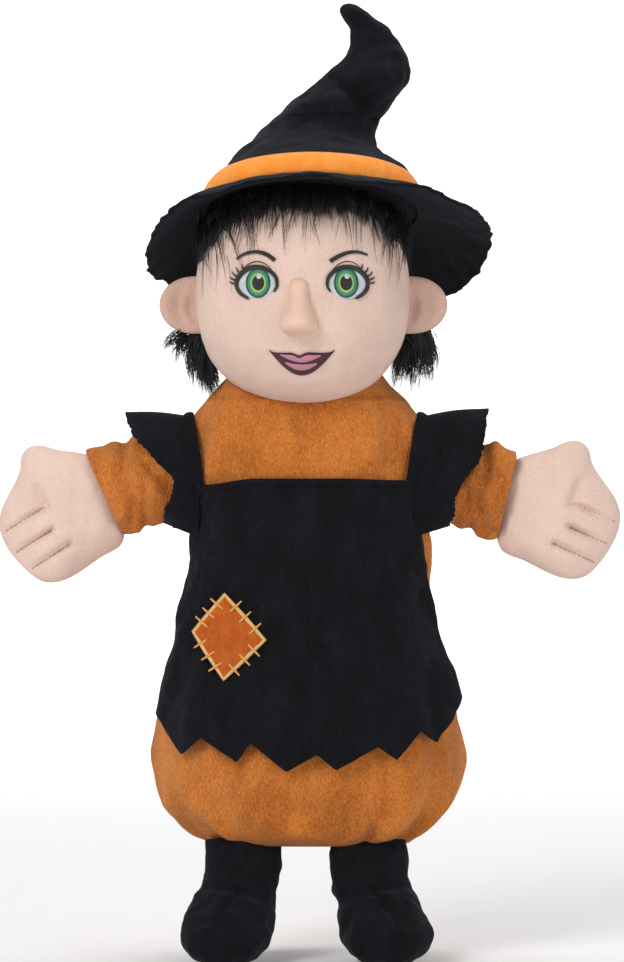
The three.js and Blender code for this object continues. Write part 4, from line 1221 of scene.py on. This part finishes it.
for name, side in (("left", 1), ("right", -1)):
    wrist = Vector((81.5, 0, 137.2)) if side > 0 else Vector((79.6, 0, 139))
    hand_tilt = Matrix.Rotation(math.radians(0 if side > 0 else 8), 4, "Y")
    hand_place = Matrix.Diagonal((side, 1, 1, 1)) @ Matrix.Translation(wrist) @ hand_tilt

    def mitten_place(direction):
        # A direction's own angle in the front view, and how near it is to the seam.
        turn = math.atan2(direction.z, direction.x) / tau
        edge_share = min(1, math.hypot(direction.x, direction.z))
        flat = mitten_middle.lerp(rim_at(turn), edge_share ** 0.9)
        half = mitten_half(flat.x, flat.y, edge_share)
        soft = 0.35 * ripple(flat.x, flat.y, direction.y * 6 + 30 * side, 7)
        return hand_place @ Vector((flat.x, math.copysign(1, direction.y) * half + soft, flat.y))

    bm = bmesh.new()
    bmesh.ops.create_uvsphere(bm, u_segments=132, v_segments=64, radius=1)
    bmesh.ops.rotate(bm, verts=bm.verts, cent=(0, 0, 0), matrix=Matrix.Rotation(math.pi / 2, 3, "X"))
    for vert in bm.verts:
        vert.co = mitten_place(vert.co.normalized()) * mm
    bmesh.ops.recalc_face_normals(bm, faces=bm.faces)
    mitten = finished(f"hand_{name}_mitten", bm)
    sewn(
        mitten, f"hand_{name}", flesh_plush, "flesh_plush",
        f"hand_palm_{name}", f"hand_back_{name}", f"hand_filling_{name}",
    )
    stitches, count = [], 9
    for line in finger_lines:
        a, b = Vector(line[0]), Vector(line[1])
        for k in range(count):
            start, end = a.lerp(b, (k + 0.12) / count), a.lerp(b, (k + 0.88) / count)
            for face in (-1, 1):
                stroke = []
                for t, lift in ((0, -0.25), (0.25, 0.2), (0.75, 0.2), (1, -0.25)):
                    spot = start.lerp(end, t)
                    spoke = spot - mitten_middle
                    rim = rim_at(math.atan2(spoke.y, spoke.x) / tau)
                    share = min(1, spoke.length / (rim - mitten_middle).length) ** (1 / 0.9)
                    depth = mitten_half(spot.x, spot.y, share) + lift + 0.15
                    stroke.append((hand_place @ Vector((spot.x, face * depth, spot.y)), 1))
                stitches.append(stroke)
    flesh_thread = embroidery(f"flesh_thread_{name}", srgb(176, 138, 124), srgb(206, 170, 154), 40)
    cords(f"finger_stitches_{name}", stitches, 0.24, flesh_thread, "flesh_plush", f"hand_{name}")

# ---- Legs --------------------------------------------------------------------------------------------
# Each leg is a sock of black velour, stuffed, with an instep seam that runs down to the toe. Its flat top is
# caught in the front of the frock's hem.
leg_out, leg_front = 24.5, 21.5
leg_rows = (
    # share, across, back, height, half width, half depth
    (0, -0.4, 2, 6, 15.4, 5), (0.14, 0.2, 0, -4, 14.9, 8.5), (0.3, 1.4, -1, -14, 14.9, 11.5),
    (0.48, 3.6, -4, -23, 16.2, 13.5), (0.66, 6.4, -11, -30, 17.2, 12.6),
    (0.85, 9.2, -19.5, -33.4, 15.4, 10.6), (1.0, 11.4, -28, -34.4, 7, 5.6),
)
for name, side in (("left", 1), ("right", -1)):

    def boot_place(u, v):
        share = v ** 0.92
        across, back, height, wide, deep = along(leg_rows, share)
        a1 = along(leg_rows, min(1, share + 0.02))
        a0 = along(leg_rows, max(0, share - 0.02))
        tangent = Vector((a1[0] - a0[0], a1[1] - a0[1], a1[2] - a0[2])).normalized()
        right = Vector((1, 0, 0))
        right = (right - tangent * right.dot(tangent)).normalized()
        front = tangent.cross(right).normalized()
        if front.y > 0 and share < 0.3 or front.z < 0 and share > 0.7:
            front = -front
        closing = math.sqrt(max(0.0, 1 - steady(0.93, 1.0, v) ** 2)) if v > 0.93 else 1
        if v < 0.02:
            closing = v / 0.02
        c, s = math.cos(tau * u), math.sin(tau * u)
        point = Vector((across, back, height)) + right * wide * closing * c + front * deep * closing * s
        soft = 0.9 * ripple(point.x + 50 * side, point.y, point.z, 9)
        soft += 0.4 * ripple(point.x + 50 * side, point.y, point.z, 4.5)
        instep = -1.5 * near(c, 0.09) * steady(-0.1, 0.5, s) * steady(0.25, 0.4, share)
        ankle = -1.2 * near(share - 0.36, 0.05) * steady(-0.4, 0.6, s)
        point += (right * c + front * s) * (soft + instep + ankle) * closing
        return Vector((side * (point.x + leg_out), point.y - leg_front, point.z))

    boot = cloth(f"boot_{name}_sock", 84, 90, boot_place, closed=True, heart=None)
    sewn(boot, f"leg_{name}", black_velour, "black_velour", f"boot_{name}", f"boot_filling_{name}")

# ---- Inside ------------------------------------------------------------------------------------------
# The card tube for the finger that works the head, and the sleeves' linings in the frock's plush. They show
# only from below.
card, card_tree = painted("grey_card")
fibres = added(
    card_tree, "ShaderNodeTexNoise",
    {"Vector": own_place(card_tree), "Scale": 300, "Detail": 5},
).outputs["Fac"]
wired(card_tree, card_tree.nodes["Principled BSDF"], {
    "Base Color": two_tones(card_tree, fibres, (0.36, 0.32, 0.26), (0.55, 0.51, 0.44)),
    "Roughness": 0.85,
})
insides = {"finger_tube": card, "sleeve_lining_left": orange_plush, "sleeve_lining_right": orange_plush}
for node, material in insides.items():
    carried = bpy.data.objects[node]
    carried.data.materials.clear()
    carried.data.materials.append(material)
